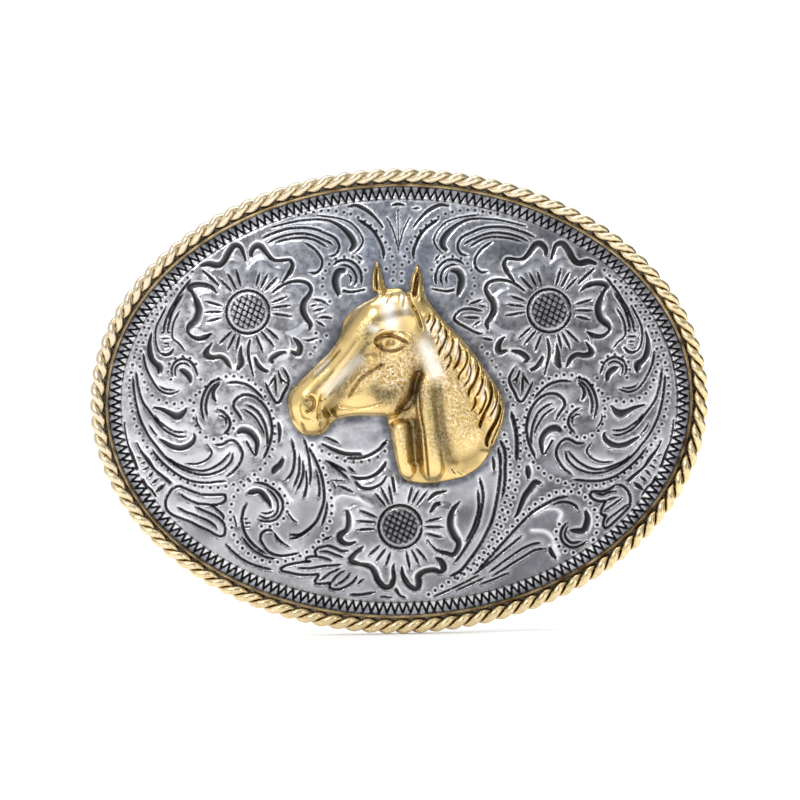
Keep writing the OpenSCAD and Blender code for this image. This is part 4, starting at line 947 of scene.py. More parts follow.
class Face:
    """The chased face's height and finish over flat points."""

    def __init__(self, sizes):
        self.depth_scale = sizes.cut_depth * 1000 / 0.2
        self.lines, dots = [], []
        for kind, p, w in strokes():
            if kind == "punch":
                dots.append(p)
                continue
            if kind == "row":
                s = smooth_path(p, 0.1)
                n = max(int(round(len(s) * 0.1 / 1.21)), 1)
                dots.append(s[np.linspace(0, len(s) - 1, n + 1).astype(int)])
                self.lines.append(("row", smooth_path(p, 0.5), None))
                continue
            s = smooth_path(p, 0.26) if len(p) > 2 else even(p, 0.26)
            if kind == "scoop":
                half = s[:, 2] / 2
            else:
                run = np.arange(len(s)) * 0.26
                half = w / 2 * (0.35 + 0.65 * step(0, 0.6, np.minimum(run, run[::-1])))
            self.lines.append((kind, s[:, :2], half))
        self.dots = thinned(np.vstack(dots), 0.45)
        self.teeth = zigzag(sizes.zigzag_teeth)
        self.head = numbers(HEAD_OUTLINE.replace("\n", " ").strip())

    def points(self):
        """Where the mesh has its points: beside every stroke, round every punch, along the zigzag, in
        the seed discs, and on an even grid elsewhere."""
        sets = []
        closed = np.vstack([self.teeth, self.teeth[:1]])
        zig = even(closed, 0.3)
        for kind, s, half in self.lines:
            if kind == "cut":
                sets.append(beside(s, half, (0, -0.95, 0.95, -1.5, 1.5)))
            elif kind == "scoop":
                sets.append(beside(s, half, (0, -0.55, 0.55, -0.95, 0.95, -1.3, 1.3)))
        sets.append(np.vstack([self.dots, spots(self.dots, 0.2, 7), spots(self.dots, 0.36, 8)]))
        sets.append(beside(zig, np.full(len(zig), 0.15), (0, -0.95, 0.95, -1.6, 1.6)))
        for c in FLOWERS:
            sets.append(hexagons((DISC, DISC), 0.2) + c)
        for size in (BORDER_OUT, BORDER_OUT - 0.08, BORDER_IN, BORDER_IN + 0.08):
            sets.append(oval(size, RIM_POINTS))
        sets.append(hexagons(FACE_SIZE, 0.4))
        p = thinned(np.vstack(sets), 0.085)
        q = np.sqrt(((p / (FACE_SIZE - 0.12)) ** 2).sum(axis=1))
        hidden = inside(p, self.head * 0.93 + np.array([0.2, 0.3]))
        p = p[(q < 1) & ~(hidden & (np.floor(p[:, 0] * 2) % 2 == 1))]
        return np.vstack([oval(FACE_SIZE, RIM_POINTS), p])

    def finish(self, p):
        """Heights above the dome and the finish values. A cut is a round-bottomed groove with a small
        burr on both sides, a scoop is wider and deeper, the metal between strokes swells up by
        1 - exp(-distance), and punches are pits with a raised ring."""
        n = len(p)
        depth, burr, oxide_and_painted_dark, painted_highlight = np.zeros(n), np.zeros(n), np.zeros(n), np.zeros(n)
        clear, row = np.full(n, 3.0), np.full(n, 3.0)
        for kind, s, half in self.lines:
            here, d, at, side = near_path(p, s, 1.9)
            if not len(here):
                continue
            if kind == "row":
                row[here] = np.minimum(row[here], d)
                continue
            h = np.interp(at, np.arange(len(half)), half)
            q = d / h
            if kind == "ridge":
                # Painted highlight along a raised ridge
                up = np.exp(-((d / 0.32) ** 2))
                burr[here] = np.maximum(burr[here], 0.12 * up)
                painted_highlight[here] = np.maximum(painted_highlight[here], 0.8 * up)
                continue
            clear[here] = np.minimum(clear[here], np.maximum(d - h, 0))
            deep = (0.2 if kind == "cut" else 0.24) + 0.22 * (h - 0.2)
            depth[here] = np.maximum(depth[here], deep * np.clip(1 - q * q, 0, 1))
            if kind == "cut":
                black = step(1.2, 0.85, q)
            else:
                # A scoop's black is partly oxide and partly a painted dark reflection of the hollow, lighter
                # on one side
                black = step(1.38, 0.58, q + 0.22 * side * step(0, 1, q)) ** 1.2
                black = black * (0.87 + 0.1 * step(-0.5, 0.5, -q * side))
            oxide_and_painted_dark[here] = np.maximum(oxide_and_painted_dark[here], black)
            # Painted highlight along the burr beside a stroke, weaker on one side
            edge = np.exp(-(((d - 1.35 * h) / 0.16) ** 2))
            low = np.where(side > 0, 1.0, 0.6)
            burr[here] = np.maximum(burr[here], (0.035 if kind == "cut" else 0.09) * edge)
            painted_highlight[here] = np.maximum(painted_highlight[here], (0.28 if kind == "cut" else 0.7) * edge * low)
        cell = 1.3
        for c in self.dots:
            here = np.nonzero((np.abs(p - c) < cell / 2).all(axis=1))[0]
            d = np.linalg.norm(p[here] - c, axis=1)
            depth[here] = np.maximum(depth[here], 0.14 * np.clip(1 - (d / 0.21) ** 2, 0, 1))
            oxide_and_painted_dark[here] = np.maximum(oxide_and_painted_dark[here], step(0.27, 0.17, d))
            # Painted highlight on a punch's raised ring
            ring = np.exp(-(((d - 0.34) / 0.09) ** 2))
            burr[here] = np.maximum(burr[here], 0.05 * ring)
            painted_highlight[here] = np.maximum(painted_highlight[here], 0.7 * ring)
        rd = rim_distance(p)
        band = step(2.8, 2.9, rd) * step(4.8, 4.7, rd)
        here, d, _, _ = near_path(p, np.vstack([self.teeth, self.teeth[:1]]), 1.0)
        black = step(0.24, 0.15, d)
        depth[here] = np.maximum(depth[here], 0.12 * np.clip(1 - (d / 0.17) ** 2, 0, 1))
        oxide_and_painted_dark[here] = np.maximum(oxide_and_painted_dark[here], black)
        oxide_and_painted_dark = np.maximum(oxide_and_painted_dark, 0.9 * step(3.02, 2.95, rd))
        high = np.zeros(n)
        patina_and_painted_shade = 0.25 * np.exp(-((row / 0.75) ** 2)) * (1 - band)
        for c in FLOWERS:
            v = p - c
            r, w = np.linalg.norm(v, axis=1), np.abs(np.cos(3 * np.arctan2(v[:, 1], v[:, 0])))
            edge = PETALS * (0.68 + 0.32 * np.sqrt(w) - 0.1 * w**12)
            high = np.maximum(high, 0.35 * step(-0.4, 0.4, edge - r))
            high = np.maximum(high, 0.62 * step(3.15, 2.9, r))
            high -= 0.22 * w * np.exp(-(((r - 6.6) / 1.5) ** 2))
            in_disc = r < 3.1
            u = v[in_disc] @ np.array([[0.94, 0.5], [-0.34, 0.866]])
            d = np.abs((u / 0.82 + 0.5) % 1 - 0.5).min(axis=1) * 0.82
            hatch = step(0.2, 0.1, d) * step(2.75, 2.55, r[in_disc])
            high[in_disc] += 0.1 * np.clip(d / 0.3, 0, 1) - 0.05
            oxide_and_painted_dark[in_disc] = np.maximum(oxide_and_painted_dark[in_disc], hatch)
            patina_and_painted_shade *= 1 - 0.7 * step(9, 7, r)
        near_head = inside(p, self.head * 1.015)
        high[near_head] = 0
        swell = 0.15 * (1 - np.exp(-clear / 0.4)) * (1 - band)
        level = high + swell + burr * (1 - oxide_and_painted_dark) - self.depth_scale * depth - 0.2 * band
        level += (0.02 * wave(p, 2.4, 4) + 0.05 * wave(p, 7, 14)) * (1 - band)
        level = np.where(rd < 2.8, 0.0, level)
        # Painted shade by region: a slow wave, dark spots at the top centre, middle, lower right and upper
        # left, lighter to the left, darker to the right and bottom
        painted_shade_drift = 0.35 + 0.3 * wave(p, 9, 9)
        for x, y, r, g in ((0, 23, 9, 0.7), (-2, -6, 5, 0.6), (20, -20, 12, 0.5), (-14, 12, 6, 0.3)):
            painted_shade_drift += g * np.exp(-(((p[:, 0] - x) ** 2 + (p[:, 1] - y) ** 2) / r**2))
        painted_shade_drift = np.clip(painted_shade_drift - 0.5 * step(-8, -32, p[:, 0]) + 0.42 * step(4, 25, p[:, 0]), 0, 1)
        painted_shade_drift = np.clip(painted_shade_drift + 0.5 * step(-8, -20, p[:, 1]) + 0.1 * step(14, 26, p[:, 1]), 0, 1.25)
        # Painted shadow: the ground darkens within about 1.3 mm of the figure's outline
        by_head = whole_distance(p, np.vstack([self.head, self.head[:1]]))
        patina_and_painted_shade = np.maximum(patina_and_painted_shade, 0.9 * step(1.3, 0.2, by_head))
        patina_and_painted_shade = patina_and_painted_shade + 0.62 * painted_shade_drift * (1 - band) * step(0.1, 0.8, clear)
        patina_and_painted_shade = patina_and_painted_shade + 0.75 * band * step(3.95, 3.6, rd)
        # Painted shade: darker towards the right and bottom, lighter at the top centre, with a slow wave
        painted_shade = 0.27 + 0.24 * step(4, 24, p[:, 0]) + 0.22 * step(-6, -20, p[:, 1]) + 0.22 * wave(p, 7, 13)
        painted_shade -= 0.2 * np.exp(-(p[:, 0] ** 2 + (p[:, 1] - 24) ** 2) / 120)
        painted_shade = np.clip(painted_shade, 0, 0.75) * (1 - 0.6 * band)
        # Painted reflection: a bluish tint over the top centre of the face
        painted_blue_reflection = 0.5 * np.exp(-((p[:, 0] + 2) ** 2) / 380 - (p[:, 1] - 23) ** 2 / 90) * (1 - band)
        finish = {"painted_shade": painted_shade, "painted_blue_reflection": painted_blue_reflection, "oxide_and_painted_dark": np.clip(oxide_and_painted_dark, 0, 1),
                  "patina_and_painted_shade": np.clip(patina_and_painted_shade, 0, 1), "painted_highlight": painted_highlight * (1 - oxide_and_painted_dark)}
        return level, finish


def build_face(sizes, material):
    """The face plate: the front is a Delaunay mesh over the stroke-following points, lifted onto the
    dome; a straight wall and a plain rear dome close it."""
    face = Face(sizes)
    flat, tri = triangles(face.points())
    level, finish = face.finish(flat)
    front = np.column_stack([flat, dome(flat, FACE_FRONT) + level])
    rim = oval(FACE_SIZE, RIM_POINTS)
    rings = [rim * k for k in (1.0, 0.75, 0.5, 0.25)]
    back = np.vstack(rings + [np.zeros((1, 2))])
    back = np.column_stack([back, dome(back, FACE_REAR)])
    n, m = len(front), RIM_POINTS
    order = np.array([int(np.argmin(((flat - v) ** 2).sum(axis=1))) for v in rim[:: m // 8]])
    assert (order == np.arange(0, m, m // 8)).all(), "the rim's points are no longer first"
    i = np.arange(m)
    j = (i + 1) % m
    wall = np.column_stack([i, n + i, n + j, j])
    rows = grid_faces(len(rings), m, False, True, n)
    last = n + (len(rings) - 1) * m
    fan = np.column_stack([last + j, last + i, np.full(m, n + len(rings) * m)])
    faces = tri.tolist() + wall.tolist() + rows.tolist() + fan.tolist()
    pts = np.vstack([front, back])
    values = {k: np.concatenate([v, np.zeros(len(back))]) for k, v in finish.items()}
    return outward(make_piece("face_plate_chased", pts, faces, "buckle", ["face_plate"], "face_silver",
                              material, values))


# ---------------------------------------------------------------- the rim


def build_rope(sizes, material):
    """The twisted rim: two round strands, each a helix about the oval centre line. With s the
    length along it, a strand's middle lies at the centre line plus a radius times (cos, sin) of the
    twist angle in the plane square to it."""
    turns, sides, strands = sizes.rope_turns, 14, 2
    n = turns * 20
    c = oval(ROPE_SIZE, n)
    centre = np.column_stack([c, dome(c, BACK_FRONT) + 1.2])
    t = np.roll(centre, -1, axis=0) - np.roll(centre, 1, axis=0)
    t /= np.linalg.norm(t, axis=1)[:, None]
    out = np.cross(t, [0, 0, 1.0])
    out /= np.linalg.norm(out, axis=1)[:, None]
    up = np.cross(out, t)
    strand_r, helix_r = 0.64, 0.51
    pts, faces = [], []
    for k in range(strands):
        a = 2 * math.pi * (turns * np.arange(n) / n + k / strands)
        path = centre + helix_r * (np.cos(a)[:, None] * out + np.sin(a)[:, None] * up)
        p, f = swept(path, strand_r, sides, True)
        faces += (np.array(f) + sum(len(q) for q in pts)).tolist()
        pts.append(p)
    p = np.vstack(pts)
    ring = np.tile(np.repeat(np.arange(n), sides), strands)
    away = np.linalg.norm(p - centre[ring], axis=1)
    # Painted light and shade: paler, with lighter hollows, towards the upper left; darker hollows towards the
    # lower right
    painted_light_upper_left = step(-22, 26, 0.8 * p[:, 1] - 0.45 * p[:, 0])
    painted_shade_lower_right = step(30, 55, p[:, 0] - p[:, 1])
    crest = np.clip(step(0.62, 1.1, away) + 0.14 * painted_light_upper_left - 0.04 * (1 - painted_light_upper_left) - 0.16 * painted_shade_lower_right, 0, 1)
    return outward(make_piece("rope_edge_twisted", p, faces, "buckle", ["rope_edge"], "rim_gold", material,
                              {"crest": crest, "pale": painted_light_upper_left}))


def build_lip(material):
    """The plain gold wire inside the rope: a circle carried round its oval, whose radius a slow wave
    varies a little."""
    c = oval(LIP_SIZE, 480)
    path = np.column_stack([c, dome(c, FACE_FRONT) + 0.275])
    p, f = swept(path, 0.25 + 0.008 * wave(c, 5, 3), 12, True)
    # Painted shade: the wire darkens towards the lower right
    crest = 0.12 + 0.05 * wave(p[:, :2], 2.5, 6) - 0.07 * step(30, 55, p[:, 0] - p[:, 1])
    return outward(make_piece("rim_wire_bright", p, f, "buckle", ["rim_wire"], "rim_gold", material,
                              {"crest": crest}))


# ---------------------------------------------------------------- the horse's head


def head_rows(text):
    """Numbered lines of the figure's work as arrays."""
    return [numbers(line) for line in text.strip().split("\n")]


def build_head(sizes, material):
    """The figure: its height over the outline is a soft greatest value of its forms, log of a sum of
    exponentials. Each form is a ball of varying size and height carried along a run, so its height is
    top - r + sqrt(r^2 - d^2). Cuts are taken out and locks added as smooth ridges, and the edge is
    rounded down to an upright wall."""
    ring = smooth_path(numbers(HEAD_OUTLINE.replace("\n", " ").strip()), 0.15, True)[:-1]
    cuts = []
    for line in HEAD_CUTS.strip().split("\n"):
        head, body = line.split(":")
        w, deep = (float(v) for v in head.split())
        bend = smooth_path if body.count(",") > 1 else even
        cuts.append((bend(numbers(body), 0.15), w, deep))
    sets = [beside(s, np.full(len(s), w / 2), (0, -0.5, 0.5, -1, 1)) for s, w, _ in cuts if w < 0.75]
    sets.append(hexagons((17.5, 22), 0.17))
    p = thinned(np.vstack(sets), 0.075)
    p = p[inside(p, ring)]
    closed = np.vstack([ring, ring[:1]])
    edge = whole_distance(p, closed)
    p, m = p[edge > 0.09], len(ring)
    flat, tri = triangles(np.vstack([ring, p]))
    tri = tri[inside(flat[tri].mean(axis=1), ring)]
    edge = whole_distance(flat, closed)
    edge[:m] = 0
    total = np.zeros(len(flat))
    soft = 0.3
    for form in head_rows(HEAD_FORMS):
        s = even(form, 0.4) if len(form) > 1 else form
        _, d, at, _ = near_path(flat, s, 60)
        r, top = (np.interp(at, np.arange(len(s)), s[:, i]) for i in (2, 3))
        ball = top - r + np.sqrt(np.maximum(r * r - d * d, 0))
        ball = np.where(d < 0.96 * r, ball, top - 0.72 * r - 2.2 * (d - 0.96 * r))
        total += np.exp(np.clip(ball, -2, 9) / soft)
    z = soft * np.log(total + math.exp(1.3 / soft))
    hollow, grain = np.zeros(len(flat)), np.zeros(len(flat))
    for s, w, deep in cuts:
        here, d, at, _ = near_path(flat, s, 2.2 * w + 0.3)
        tail = step(-0.01, 0.5 / 0.15, np.minimum(at, len(s) - 1 - at)) * 0.6 + 0.4
        q = d / (w / 2 * tail)
        f = np.exp(-(q**2) * 0.9)
        z[here] -= deep * f * tail
        # A groove darkens, partly patina and partly painted shade
        if deep > 0:
            dark = min(1.0, 0.55 * deep / w) if w < 0.75 else min(0.5, 0.3 * deep)
            hollow[here] = np.maximum(hollow[here], dark * np.exp(-(q**2) * 1.6))
    for x, y, r, g in ((-1.5, 4.2, 3.4, 1), (-5, 4.6, 2.2, 0.8), (-2, 7, 2, 0.7), (1.5, 6.5, 2.6, 0.8),
                       (3, 1, 2.4, 1), (6.5, 2, 3, 0.9), (8, -2, 3, 0.7), (2, -5, 2.4, 0.8),
                       (6.5, -6, 2.2, 0.8), (-4.6, 10.6, 1.4, 0.6), (-8, 2.4, 1.5, 0.5), (4.5, 5.5, 2.4, 0.8),
                       (10, -5, 2.8, 0.5), (9, 1.5, 2.6, 0.7), (-0.5, 2, 3, 1), (6.5, 6, 2.4, 0.8)):
        d = np.hypot(flat[:, 0] - x, flat[:, 1] - y)
        grain = np.maximum(grain, g * np.exp(-((d / r) ** 2)))
    z += (0.03 * wave(flat, 0.9, 21) + 0.02 * wave(flat, 0.55, 23)) * grain
    painted_olive_shade = np.zeros(len(flat))
    painted_glint = np.zeros(len(flat))
    for text, value in ((HEAD_PAINTED_SHADES, painted_olive_shade), (HEAD_BROWNS, hollow), (HEAD_PAINTED_GLINTS, painted_glint)):
        for line in text.strip().split("\n"):
            head, body = line.split(":")
            w, g = (float(v) for v in head.split())
            s = smooth_path(numbers(body), 0.3) if body.count(",") > 1 else even(numbers(body), 0.3)
            here, d, _, _ = near_path(flat, s, 2 * w)
            value[here] = np.maximum(value[here], g * np.exp(-((d / w) ** 2) * 2.2))
    fall = np.clip(edge / 0.9, 0, 1)
    z = 0.75 + (np.maximum(z, 0.9) - 0.75) * np.sqrt(1 - (1 - fall) ** 2)
    # Painted shade along the figure's rounded edge
    hollow = np.maximum(hollow, 0.45 * step(0.35, 0.0, edge))
    top = np.column_stack([flat, dome(flat, FACE_FRONT) + z * sizes.figure_rise * 1000 / 4.4])
    foot = np.column_stack([ring, dome(ring, FACE_FRONT) + 0.05])
    n = len(top)
    i = np.arange(m)
    j = (i + 1) % m
    wall = np.column_stack([i, n + i, n + j, j])
    base, btri = triangles(ring)
    btri = btri[inside(base[btri].mean(axis=1), ring)]
    faces = tri.tolist() + wall.tolist() + (btri[:, ::-1] + n).tolist()
    # The foot ring's brown is painted shade where the figure meets the plate
    foot_values = ((hollow, 0.6), (grain, 0), (painted_olive_shade, 0), (painted_glint, 0))
    values = dict(zip(("hollow", "grain", "painted_olive_shade", "painted_glint"),
                      (np.concatenate([v, np.full(m, float(low))]) for v, low in foot_values)))
    return outward(make_piece("horse_head_cast", np.vstack([top, foot]), faces, "buckle", ["horse_head"],
                              "figure_gold", material, values))


# ---------------------------------------------------------------- the back


def build_back_plate(material):
    """The back plate: rings on the rear dome, round the edge in a half circle, and back on the front
    dome. A ring's half axes are the plate's times its share, and its height is its dome's."""
    n, mid, half = 360, (BACK_REAR + BACK_FRONT) / 2, (BACK_FRONT - BACK_REAR) / 2
    shares = np.linspace(0.04, 1, 26)
    rows = []
    for k in shares:
        c = oval((BACK_SIZE - half) * k, n)
        rows.append(np.column_stack([c, dome(c, BACK_REAR)]))
    for a in np.linspace(-90, 90, 9)[1:-1]:
        s = BACK_SIZE - half + half * math.cos(math.radians(a))
        c = oval(s, n)
        rows.append(np.column_stack([c, dome(c, mid) + half * math.sin(math.radians(a))]))
    for k in shares[::-1]:
        c = oval((BACK_SIZE - half) * k, n)
        rows.append(np.column_stack([c, dome(c, BACK_FRONT)]))
    p = np.vstack(rows)
    ends = np.array([[0, 0, DOME_Z + BACK_REAR], [0, 0, DOME_Z + BACK_FRONT]])
    i = np.arange(n)
    j = (i + 1) % n
    last = (len(rows) - 1) * n
    faces = grid_faces(len(rows), n, False, True).tolist()
    faces += np.column_stack([j, i, np.full(n, len(p))]).tolist()
    faces += np.column_stack([last + i, last + j, np.full(n, len(p) + 1)]).tolist()
    return outward(make_piece("back_plate_smooth", np.vstack([p, ends]), faces, "buckle", ["back_plate"],
                              "back_nickel", material))


# ---------------------------------------------------------------- the back fittings


HINGE_X, HOOK_X = 16.0, -31.0  # where the pin and the hook lie along x
BASE_GAP = 0.17308  # between the flat hook base and the hollow plate, at its middle


def softened(profile, b, closed):
    """A profile whose corners are cut by a small bevel, with a support point beside each cut, so
    that smooth shading keeps the flats flat: each corner c becomes c plus 1.6 b and 0.5 b along the
    way to each neighbour."""
    p = np.asarray(profile, float)
    before, after = np.roll(p, 1, axis=0) - p, np.roll(p, -1, axis=0) - p
    la, lb = np.linalg.norm(before, axis=1)[:, None], np.linalg.norm(after, axis=1)[:, None]
    sa, sb = np.minimum(b, la / 4), np.minimum(b, lb / 4)
    rows = np.stack([p + before / la * 1.6 * sa, p + before / la * 0.5 * sa,
                     p + after / lb * 0.5 * sb, p + after / lb * 1.6 * sb], axis=1)
    if not closed:
        rows[0, :2], rows[-1, 2:] = rows[0, 2:3], rows[-1, 1:2]
        return np.vstack([p[:1], rows[1:-1].reshape(-1, 2), p[-1:]])
    return rows.reshape(-1, 2)


def turned(profile, origin, axis, b=0.1, sides=56, ring=False):
    """A turned part: each profile point (radius, height) carried round the axis as
    origin + height * w + radius * (cos a * u + sin a * v). A ring's profile closes on itself."""
    p = softened(profile, b, ring)
    w = np.asarray(axis, float) / np.linalg.norm(axis)
    u = np.cross(w, [0, 1.0, 0] if abs(w[1]) < 0.9 else [1.0, 0, 0])
    u /= np.linalg.norm(u)
    v = np.cross(w, u)
    a = np.linspace(0, 2 * math.pi, sides, endpoint=False)
    around = np.cos(a)[:, None] * u + np.sin(a)[:, None] * v
    pts = np.asarray(origin, float) + p[:, 1, None, None] * w + p[:, 0, None, None] * around[None]
    faces = grid_faces(len(p), sides, ring, True).tolist()
    if not ring:
        faces += [list(range(sides)), list(range((len(p) - 1) * sides, len(p) * sides))]
    return pts.reshape(-1, 3), faces


def slab(outline, centre, low, high, place, b=0.15, bore=0.0):
    """A plate: a convex outline pulled from one height to another with bevelled edges, round a bore
    if it has one. place turns (x, y, height) points into the part's frame."""
    p, c = np.asarray(outline, float), np.asarray(centre, float)
    away = p - c
    size = np.linalg.norm(away, axis=1)[:, None]
    rings = []
    for back, z in ((1.6, low), (0.7, low), (0, low + 0.7 * b), (0, low + 1.6 * b),
                    (0, high - 1.6 * b), (0, high - 0.7 * b), (0.7, high), (1.6, high)):
        rings.append(np.column_stack([c + away * (1 - back * b / size), np.full(len(p), z)]))
    if bore:
        hole = c + away / size * bore
        rings = [np.column_stack([hole, np.full(len(p), low)])] + rings
        rings.append(np.column_stack([hole, np.full(len(p), high)]))
    n = len(p)
    faces = grid_faces(len(rings), n, bool(bore), True).tolist()
    if not bore:
        faces += [list(range(n)), list(range((len(rings) - 1) * n, len(rings) * n))]
    return place(np.vstack(rings)), faces


def joined(parts):
    """Several point and face lists as one."""
    pts, faces, n = [], [], 0
    for p, f in parts:
        faces += [[i + n for i in q] for q in f]
        pts.append(p)
        n += len(p)
    return np.vstack(pts), faces


def on_dome(x, y):
    """A place on the plate's rear surface, and the outward way there."""
    w = np.array([x, y, math.sqrt(BACK_REAR**2 - x * x - y * y)]) / BACK_REAR
    return np.array([0, 0, DOME_Z]) + BACK_REAR * w, w


def at_hook(p):
    """Points of the hook's own frame in the part's frame."""
    origin, w = on_dome(HOOK_X, 0)
    u = np.cross([0, 1.0, 0], w)
    return origin + (p[:, 2:] - BASE_GAP) * w + p[:, :1] * u + p[:, 1:2] * np.array([0, 1.0, 0])


def build_fittings(lugs, wire, turned_steel, gold):
    """The hinge lugs, pin, strap loop, hook, rivets, and the ends of the figure's posts."""

    def back(name, parts, node, slot, material, body="buckle"):
        """One fitting from its parts."""
        return outward(make_piece(name, *joined(parts), body, [node], slot, material))

    arc = np.radians(np.linspace(90, 0, 17))
    bend = np.column_stack([31.5 + 3.5 * np.cos(arc), 18 + 3.5 * np.sin(arc)])
    half = np.vstack([[[18, 21.5], [20, 21.5], [24, 21.5], [28, 21.5], [31.2, 21.5]], bend, [[35, 17.6]]])
    bar = np.column_stack([np.full(9, 35.0), np.linspace(14, -14, 9)])
    path = np.vstack([half, bar, half[::-1] * [1, -1]])
    sides = 28
    pts, faces = swept(np.column_stack([path, np.zeros(len(path))]), 1.5, sides, False)
    faces += [list(range(sides)), list(range(len(pts) - sides, len(pts)))]
    eye = [(1.66, -1.5), (2.9, -1.5), (2.9, 1.5), (1.66, 1.5)]
    eyes = [turned(eye, (HINGE_X, y, 0), (0, 1, 0), ring=True) for y in (-21.5, 21.5)]
    back("strap_loop_bent", [(pts, faces)] + eyes, "strap_loop", "back_nickel", wire, "loop")

    pin = [(2.2, -24.25), (2.6, -24.05), (2.6, -23.25), (1.6, -23.25),
           (1.6, 23.25), (2.6, 23.25), (2.6, 24.05), (2.2, 24.25)]
    back("hinge_pin_turned", [turned(pin, (HINGE_X, 0, 0), (0, 1, 0))], "hinge_pin", "steel", turned_steel)

    a = np.radians(np.linspace(180, 360, 33))
    ear = np.vstack([np.column_stack([2.9 * np.cos(a), 2.9 * np.sin(a)]),
                     [[2.9, z] for z in (1.5, 3, 4.4)], [[x, 4.4] for x in (2, 1, 0, -1, -2)],
                     [[-2.9, z] for z in (4.4, 3, 1.5)]])
    pad = [(-5, -4.1), (0, -4.1), (5, -4.1), (5, 0), (5, 4.1), (0, 4.1), (-5, 4.1), (-5, 0)]
    for side, node in ((1, "hinge_lug_top"), (-1, "hinge_lug_bottom")):
        parts = [slab(ear, (0, 0), 17.15, 19.75,
                      lambda p: np.column_stack([p[:, 0] + HINGE_X, side * p[:, 2], p[:, 1]]), bore=1.64),
                 slab(pad, (0, 0), 3.2, 4.6, lambda p: p + [HINGE_X, side * 15.65, 0])]
        back(node + "_formed", parts, node, "back_nickel", lugs)

    rivet = [(1.1, -0.63), (1.53, -0.4), (1.53, 0), (0.9, 0)]
    parts = []
    for x in (HINGE_X - 2.97, HINGE_X + 2.97):
        for y in (-14.35, 14.35):
            top = DOME_Z + math.sqrt(BACK_FRONT**2 - x * x - y * y) - 3.2
            parts.append(turned(rivet + [(0.9, top)], (x, y, 3.2), (0, 0, 1)))
    back("lug_rivets_headed", parts, "lug_rivets", "steel", turned_steel)

    a = np.radians(np.linspace(-90, 270, 64, endpoint=False))
    ends = np.column_stack([4 * np.cos(a), 4 * np.sin(a) + np.where(np.sin(a) > 0, 4, -4)])
    back("hook_base_plate", [slab(ends, (0, 0), -1.2, 0, at_hook)], "hook_base", "back_nickel", turned_steel)
    a = np.radians(np.linspace(0, 84, 8))
    tip = np.column_stack([1 + np.cos(a), 7 + np.sin(a)]).tolist()
    way = at_hook(np.array([[0.08716, 0, -1.65 - 0.99619], [0, 0, -1.65]]))
    foot = at_hook(np.array([[0, 0, -2.1], [0, 0, -1.1]]))
    peg = [turned([(2.5, 0.2), (2, 1.3)] + tip + [(0.15, 8.0)], way[1], way[0] - way[1], b=0.05),
           turned([(2.4, 0), (2.9, 0.25), (2.9, 0.9)], foot[0], foot[1] - foot[0])]
    back("hook_peg_turned", peg, "hook_peg", "back_nickel", turned_steel)
    parts = []
    for y in (-5.87, 5.87):
        o = at_hook(np.array([[0, y, -1.2], [0, y, 0]]))
        parts.append(turned(rivet + [(0.9, 2.5)], o[0], o[1] - o[0]))
    back("hook_rivets_headed", parts, "hook_rivets", "steel", turned_steel)

    posts, washers = [], []
    for place in ((-11.5, 1.2), (6, -4.5)):
        o, w = on_dome(*place)
        peened = [(0.5, -1.2), (1.1, -1.16), (1.5, -1.02), (1.75, -0.78), (1.25, -0.7), (1.25, 2.2)]
        posts.append(turned(peened, o, w, 0.06))
        washers.append(turned([(1.3, -0.65), (2.3, -0.65), (2.3, -0.05), (1.3, -0.05)], o, w, ring=True))
    back("head_posts_peened", posts, "head_posts", "figure_gold", gold)
    back("post_washers_punched", washers, "post_washers", "steel", turned_steel)


# ---------------------------------------------------------------- the stage


def build_stage(sizes):
    """A plain pale floor under the buckle, soft panels of light, a pale surround and the camera."""
    scene = bpy.context.scene
    reach, z = 9.0, -0.0357
    corners = [(-reach, -reach, z), (reach, -reach, z), (reach, reach, z), (-reach, reach, z)]
    mesh = bpy.data.meshes.new("floor")
    mesh.from_pydata(corners, [], [(0, 1, 2, 3)])
    floor = bpy.data.objects.new("floor", mesh)
    scene.collection.objects.link(floor)
    m = Nodes("Pale floor")
    white = m.ramp(m.noise(60, 2), [(0.3, (0.98, 0.98, 0.98)), (0.7, (1.0, 1.0, 1.0))])
    m.join(white, m.shader.inputs["Base Color"])
    m.shader.inputs["Roughness"].default_value = 1.0
    m.shader.inputs["Specular IOR Level"].default_value = 0.0
    mesh.materials.append(m.mat)
    for name, place, size, power, tint in (
        ("key panel", (-0.3, -0.55, 0.5), (0.3, 0.22), 1.5, (1, 1, 1)),
        ("fill panel", (0.5, -0.5, 0.05), (0.1, 0.5), 0.6, (1, 1, 1)),
        ("low panel", (-0.1, -0.6, -0.3), (0.4, 0.08), 0.4, (1, 1, 1)),
        ("top panel", (0.0, 0.0, 0.7), (0.6, 0.3), 1.6, (0.97, 0.98, 1)),
        ("back panel", (0.3, 0.7, 0.4), (0.5, 0.4), 1.6, (1, 1, 1)),
    ):
        light = bpy.data.lights.new(name, "AREA")
        light.shape, light.size, light.size_y = "RECTANGLE", *size
        light.energy, light.color = power * sizes.light, tint
        obj = bpy.data.objects.new(name, light)
        obj.location = place
        obj.rotation_euler = (Vector((0, 0, 0)) - Vector(place)).to_track_quat("-Z", "Y").to_euler()
        scene.collection.objects.link(obj)
    build_surround(scene)
    place_camera(scene)


